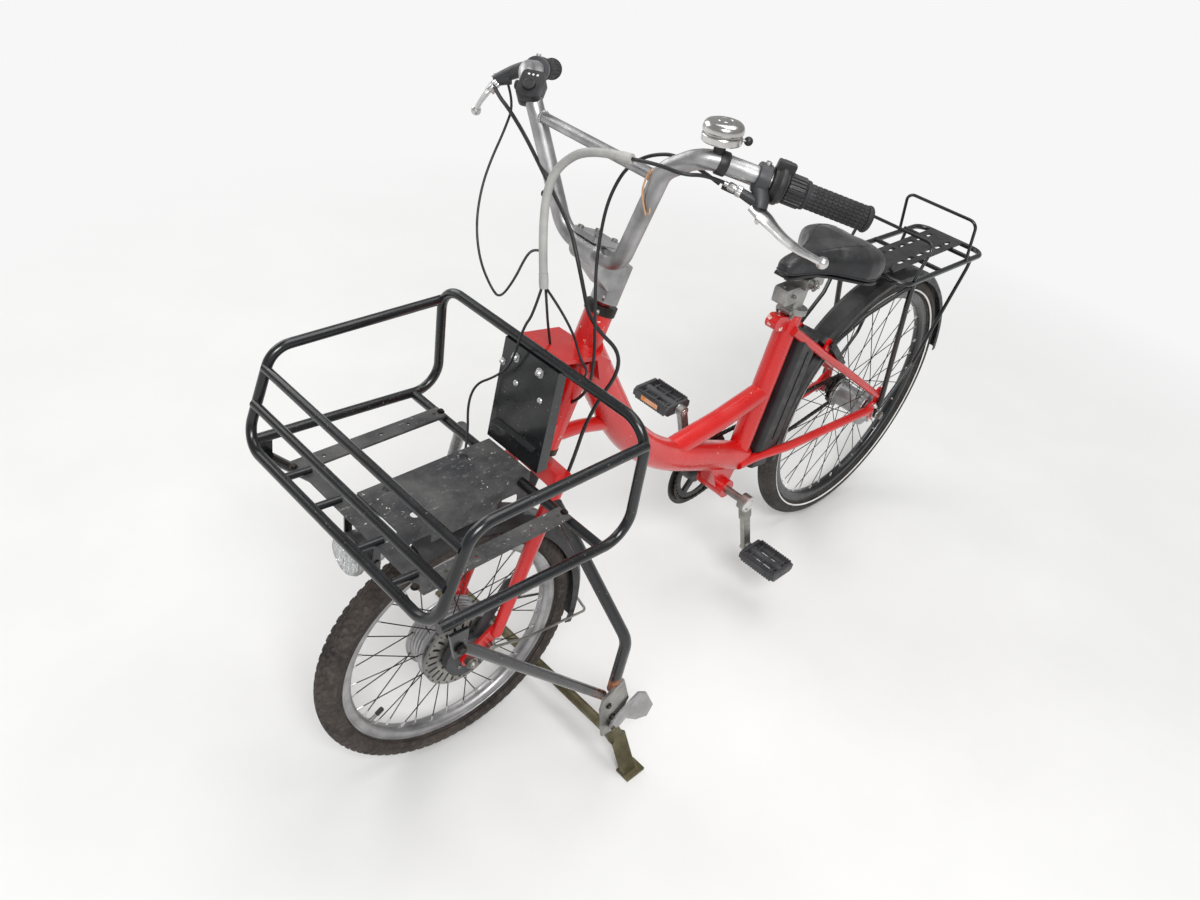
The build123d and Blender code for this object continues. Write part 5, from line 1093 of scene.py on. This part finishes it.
saddle = Shape().add(saddle_solid(2.6), shift(-AHEAD, 0, 0))
cover = piece("saddle_cover_soft", saddle, "saddle_cover", "frame", ["saddle"], 60)
remesh = cover.modifiers.new("Remesh", "REMESH")
remesh.mode = "VOXEL"
remesh.voxel_size = 0.0045
with_modifiers(cover)
blown_up(cover)
smooth = cover.modifiers.new("Smooth", "SMOOTH")
smooth.iterations = 3
smooth.factor = 0.5
finer = cover.modifiers.new("Finer", "SUBSURF")
finer.levels = 1
with_modifiers(cover)
cover.data.materials.clear()
cover.data.materials.append(MATERIALS["saddle_cover"])

cover_mesh = cover.data
surface = BVHTree.FromPolygons([v.co for v in cover_mesh.vertices], [list(f.vertices) for f in cover_mesh.polygons])


def on_cover(point, out=0.0):
    """The nearest place on the saddle cover, raised by out millimetres."""
    place, normal, _, _ = surface.find_nearest(point)
    return (place + normal * (out / 1000)) * 1000


seam = Shape()
edge = [at(x, 1.05 * w, SADDLE_BASE + low + 9) for x, w, low, high in SADDLE[1:]]
edge += [MIRROR @ place for place in reversed(edge)]
edge_line = smooth_line(edge + edge[:1], 10)
seam.add(swept([on_cover(p, 0.5) for p in edge_line[:-1]], 1.5, 8, (0, 0, 1), closed=True))
for side in SIDES:
    rows = [(226, 44), (252, 58), (292, 60), (330, 42), (364, 28), (404, 20), (440, 15), (464, 6)]
    top_line = smooth_line([at(x, side * y, SADDLE_BASE + 160) for x, y in rows], 10)
    seam.add(swept([on_cover(p, 0.15) for p in top_line], 0.8, 8, (0, 0, 1)))
piece("saddle_seams", seam, "saddle_cover", "frame", (), 60)

tray = Shape()
plan = [(x, w * 0.88) for x, w, low, high in SADDLE[1:-1]]
ring = [(x - AHEAD, y) for x, y in plan] + [(x - AHEAD, -y) for x, y in reversed(plan)]
verts, faces = extruded(ring, 0, 5, 1.4)
TRAY_LOW, TRAY_RISE, TRAY_RISE_FROM, TRAY_RISE_OVER = 58, 34, 250, 150
lifted = []
for x, y, z in verts:
    share = max(0.0, min(1.0, (x + AHEAD - TRAY_RISE_FROM) / TRAY_RISE_OVER))
    lifted.append((x, y, z + SADDLE_BASE + TRAY_LOW + TRAY_RISE * share ** 0.8))
tray.add((lifted, faces))
for side in SIDES:
    rail = [(236, 24, 62), (262, 22, 60), (290, 20, 71), (340, 18, 76), (388, 16, 82), (430, 10, 90)]
    line = smooth_line([at(x, side * y, SADDLE_BASE + z - 5) for x, y, z in rail], 8)
    tray.add(swept([p * 1000 for p in line], 3.5, 12), None, 1)
piece("saddle_tray", tray, "black_plastic", "frame", (), 35, ["plain_steel"])

clamp = Shape()
add_outward(clamp, [("nut", 6.5, 386, 32, 743), ("socket", 4, 425, 17, 722), ("hex", 4.6, 413, 16, 676)])
for number in range(30):
    turn = 2 * math.pi * number / 30
    tooth = at(386 + 10.6 * math.cos(turn), 32.6, 743 + 10.6 * math.sin(turn))
    clamp.add(block(3.4, 1.1, 1.4, 0.3), facing(tooth, (0, 1, 0)) @ rotation(-12 * number, "Z"))
add_fasteners(clamp, [("socket", 3.6, at(372, 0, 757), (0, 0, 1)), ("socket", 3.6, at(440, 0, 739), (0.1, 0, 1))])
piece("seat_clamp_bolts", clamp, "plain_steel", "frame", (), 32)

# Carrier: the panel's nuts and bolts, strip screws, leg brackets and the headlamp

PANEL_OUT = (1, 0, 0.1)
nuts = Shape()
for kind, size, x, y, z in (
    ("dome", 6.2, 1085, -30.6, 772), ("dome", 6.2, 1085, 23.5, 774), ("dome", 4.6, 1087, -56, 752),
    ("round", 5.2, 1089, -20, 733), ("round", 5.2, 1089, 35, 733),
):
    add_fasteners(nuts, [(kind, size, at(x, y, z), PANEL_OUT)])
piece("panel_nuts", nuts, "bright_alloy", "frame")

screws = Shape()
STRIP_Y, STRIP_TOP = 150, 615.6
for x in (1125, 1388):
    add_fasteners(screws, [("hex", 4.6, at(x, side * STRIP_Y, STRIP_TOP), (0, 0, 1)) for side in SIDES])
add_outward(screws, [("hex", 6, 1384, 247, 582), ("hex", 5, 1030, 251, 174), ("hex", 4.4, 1046, 251, 214)])
piece("carrier_bolts", screws, "dark_steel", "frame")

LAMP_FACE = facing(at(1395, 0, 560), (1, 0, 0))
shell = [(0, -62), (10, -62), (14, -61), (20, -58), (22, -57), (25.6, -50), (27, -46), (28.4, -38), (29, -32),
         (29.4, -31), (29.4, -29.6), (29, -29), (30, -10.5), (31.4, -9.4), (32.4, -8), (33, -6.4), (33, -1.4),
         (32.4, -0.2), (31.4, 0), (30.4, 0), (30, -1.2)]
lamp = Shape().add(lathed(shell + [(0, -1.2)], 96), LAMP_FACE)
piece("headlamp_shell", lamp, "satin_alloy", "frame", ["headlamp"], 30)
bowl = [(29.6, -0.9), (27.5, -0.7), (20, -0.65), (9, -0.6), (0, -0.6)]
dish = Shape().add(lathed(bowl, 60), LAMP_FACE)
bulb = [(7.5, -0.6), (7.5, 0.4), (5.4, 0.8), (5.2, 2.4), (4.2, 3.4), (0, 3.8)]
dish.add(lathed(bulb, 32), LAMP_FACE, 1)
piece("headlamp_reflector", dish, "chrome", "frame", (), 25, ["white_plastic"])
glass = [(0, 0.6), (29.5, 0.6), (29.8, 1.4), (29.8, 4.0), (29, 5.2), (27.4, 5.6)]
glass += [(27.4 - 27.4 * n / 14, 5.6 + 0.35 * math.sin(math.pi * n / 14)) for n in range(1, 14)] + [(0, 5.9)]
lens = lathed(glass, 72)
verts = []
for x, y, z in lens[0]:
    if z > 5.5:
        z -= 0.8 * abs(math.sin(math.pi * x / 11)) * (0.7 + 0.3 * abs(math.sin(math.pi * y / 15)))
    verts.append((x, y, z))
piece("headlamp_glass", Shape().add((verts, lens[1]), LAMP_FACE), "lamp_lens", "frame", ["headlamp_lens"], 18)

# Drive side: pedals, crank bolts and dropout nuts

CRANK_LENGTH, CRANK_TURN, PEDAL_Y = 165, math.radians(249), 143


def crank_end(side, y):
    """Place on the axis of the left (1) or right (-1) pedal."""
    length = side * CRANK_LENGTH
    return at(BB[0] + length * math.cos(CRANK_TURN), side * y, BB[2] + length * math.sin(CRANK_TURN))


def pedal_solid(side):
    """Pedal: toothed rails, bars, end plates and reflectors; x along the bicycle and y outwards."""
    half_l, half_w, half_t = 48, 37, 12.5
    shape, centre = Shape(), Matrix.Translation(crank_end(side, PEDAL_Y))
    outward = facing(Vector((0, 0, 0)), (0, side, 0))

    def put(solid, x, y, z, mark=0, turn=Matrix()):
        shape.add(solid, centre @ shift(x, side * y, z) @ turn, mark)

    tooth = extruded([(-2.2, -2.4), (2.2, -2.4), (2.2, 2.4), (-2.2, 2.4)], 0, 3.4, 0.8)
    for along in (1, -1):
        put(block(6, 2 * half_l - 12, 17, 1.6), along * (half_w - 4), 0, 0)
        for number in range(-6, 7):
            for up, turn in ((1, Matrix()), (-1, rotation(180, "X"))):
                put(tooth, along * (half_w - 4), number * 6.4, up * 8.4, 0, turn)
        put(block(3.2, 52, 15, 1.0), along * (half_w - 1.2), 0, 0)
        # The left pedal has lost its front reflector
        if side < 0 or along < 0:
            put(block(1.6, 46, 10.5, 0.6), along * (half_w + 0.2), 0, 0, 1)
            for number in range(-3, 4):
                put(block(1.0, 1.1, 9.5, 0.3), along * (half_w + 1.0), number * 6.4, 0, 1)
        for across in (-30, 0, 30):
            put(block(28, 4.4, 11, 1.2), along * 20.5, across, 0)
        put(block(4.0, 78, 8, 1.0), along * 20, 0, 0)
    a, b = half_w - 8, half_t - 1
    end = [(-a, -b), (a, -b), (half_w - 1, -6), (half_w - 1, 6), (a, b), (-a, b), (1 - half_w, 6), (1 - half_w, -6)]
    for across in (half_l - 3.6, -half_l + 3.6):
        put(extruded(end, -3.6, 3.6, 1.4), 0, across, 0, 0, rotation(90, "X"))
    tube = [(4.6, -half_l + 1), (9, -half_l + 1), (10, -half_l + 3), (10, -20), (8.8, -17), (8.8, 17), (10, 20),
            (10, half_l - 3), (9, half_l - 1), (8.4, half_l + 0.4), (0, half_l + 0.4)]
    put(lathed(tube, 36), 0, 0, 0, 0, outward)
    axle = [(4.5, -half_l - 18), (4.5, -half_l - 3), (6.8, -half_l - 3), (6.8, -half_l + 1), (0, -half_l + 1)]
    put(lathed(axle, 28), 0, 0, 0, 2, outward)
    return shape


for side, name in ((1, "pedal_left"), (-1, "pedal_right")):
    piece(f"{name}_cage", pedal_solid(side), "grey_plastic", name, [name], 32, ["amber", "plain_steel"])

caps = Shape()
boss = [(18, 0), (18.6, 0.8), (18.6, 2.6), (17.4, 3.6), (12.6, 3.8), (12, 2.4), (11.6, 2.2), (11.2, 3.6), (9.6, 4.6),
        (0, 5)]
collar = [(6, 0), (11.4, 0), (11.8, 0.8), (11.8, 1.6), (10.8, 2.4), (8, 2.4), (7.4, 1.2), (6, 1.2)]
for side in SIDES:
    caps.add(lathed(boss, 56), facing(at(BB[0], side * 92.4, BB[2]), (0, side, 0)))
    caps.add(lathed(collar, 40, closed=True), facing(crank_end(side, 91), (0, side, 0)))
    back = facing(crank_end(side, 76.8), (0, -side, 0))
    caps.add(lathed([(0, 0), (7, 0), (6.6, 1), (3.4, 1), (3.2, 0.2), (0, 0.2)], 28), back)
piece("crank_caps", caps, "bright_alloy", "crank", (), 30)

axle_nuts = Shape()
add_outward(axle_nuts, [("dome", 8, 0, 76, REAR_R), ("dome", 6, 16, 74, 352), ("hex", 5, 26, 74, 316)])
washer = [(6, 0), (14.4, 0), (15, 0.6), (15, 1.8), (14.2, 2.4), (6, 2.4)]
for side in SIDES:
    axle_nuts.add(lathed(washer, 40, closed=True), facing(at(0, side * 73.4, REAR_R), (0, side, 0)))
piece("dropout_nuts", axle_nuts, "bright_alloy", "frame")

front_nuts = Shape()
add_outward(front_nuts, [("dome", 8.6, WHEELBASE, 66, FRONT_R)])
# At the brake, on the left alone
cover_rounds = [("round", 4, WHEELBASE + x, 50.2, FRONT_R + z) for x, z in ((-14, -16), (14, 16), (-14, 16), (14, -16))]
add_outward(front_nuts, [("hex", 5, 1144, 48.4, 280), ("hex", 4.2, 1118, 43.6, 360)] + cover_rounds, (1,))
piece("front_axle_nuts", front_nuts.turned(STEER), "plain_steel", "steering")


# Floor, backdrop and light

BACKDROP = (0.93, 0.93, 0.93)
WORLD_LIGHT = 0.42
# Distances in metres between which the floor fades to the backdrop
FLOOR_FADE = (1.15, 2.6)


def add_floor():
    """Pale floor that keeps the shadow and fades to white away from it, for the camera and for mirrors."""
    mesh = bpy.data.meshes.new("floor")
    half = 30.0
    mesh.from_pydata([(-half, -half, 0), (half, -half, 0), (half, half, 0), (-half, half, 0)], [], [(0, 1, 2, 3)])
    floor = bpy.data.objects.new("floor", mesh)
    bpy.context.scene.collection.objects.link(floor)
    s = Shader("floor_paint")
    pale = s.mix(s.spots(0.3, 0.7, 3.0), (0.78, 0.78, 0.77), (0.82, 0.82, 0.81))
    s.give({"Base Color": pale, "Roughness": s.spots(0.3, 0.7, 8.0, to=(0.85, 0.95)), "Specular IOR Level": 0.2})
    rays = add_node(s.tree, "LightPath").outputs
    seen = s.most(s.most(rays["Is Camera Ray"], rays["Is Glossy Ray"]), rays["Is Transmission Ray"])
    away = calculated(s.tree, "LENGTH", s.place, kind="VectorMath")
    fade = s.times(seen, s.band(away, *FLOOR_FADE))
    glow = add_node(s.tree, "Emission", Color=(*BACKDROP, 1))
    blend = add_node(s.tree, "MixShader")
    for socket, value in zip(blend.inputs, (fade, s.shader.outputs[0], glow.outputs[0])):
        feed(s.tree, socket, value)
    feed(s.tree, s.tree.nodes["Material Output"].inputs["Surface"], blend.outputs[0])
    mesh.materials.append(s.material)


def add_world():
    """White surroundings for the camera and for mirrors, plain grey light for the rest."""
    world = bpy.data.worlds.new("studio")
    bpy.context.scene.world = world
    world.use_nodes = True
    tree = world.node_tree
    rays = add_node(tree, "LightPath").outputs
    seen = calculated(tree, "MAXIMUM", rays["Is Camera Ray"], rays["Is Transmission Ray"])
    strength = add_node(tree, "MapRange", Value=seen, **{"To Min": WORLD_LIGHT, "To Max": 1.0})
    background = tree.nodes["Background"]
    feed(tree, background.inputs["Color"], (*BACKDROP, 1))
    feed(tree, background.inputs["Strength"], strength.outputs["Result"])


def add_lamp(name, place, target, size, power):
    data = bpy.data.lights.new(name, "AREA")
    data.shape = "RECTANGLE"
    data.size, data.size_y = size
    data.energy = power
    lamp = bpy.data.objects.new(name, data)
    bpy.context.scene.collection.objects.link(lamp)
    aim = Vector(target) - Vector(place)
    lamp.matrix_world = Matrix.Translation(place) @ aim.to_track_quat("-Z", "Y").to_matrix().to_4x4()


add_camera()
add_floor()
add_world()
add_lamp("key", (2.2, 2.4, 3.6), (0.0, 0.0, 0.5), (1.9, 1.3), 128.0)
add_lamp("fill", (0.6, -3.4, 2.6), (0.0, 0.0, 0.5), (3.0, 2.0), 48.0)
add_lamp("top", (-0.6, 0.2, 4.2), (0.0, 0.0, 0.4), (3.2, 2.2), 66.0)
bpy.context.scene.view_settings.view_transform = "Standard"
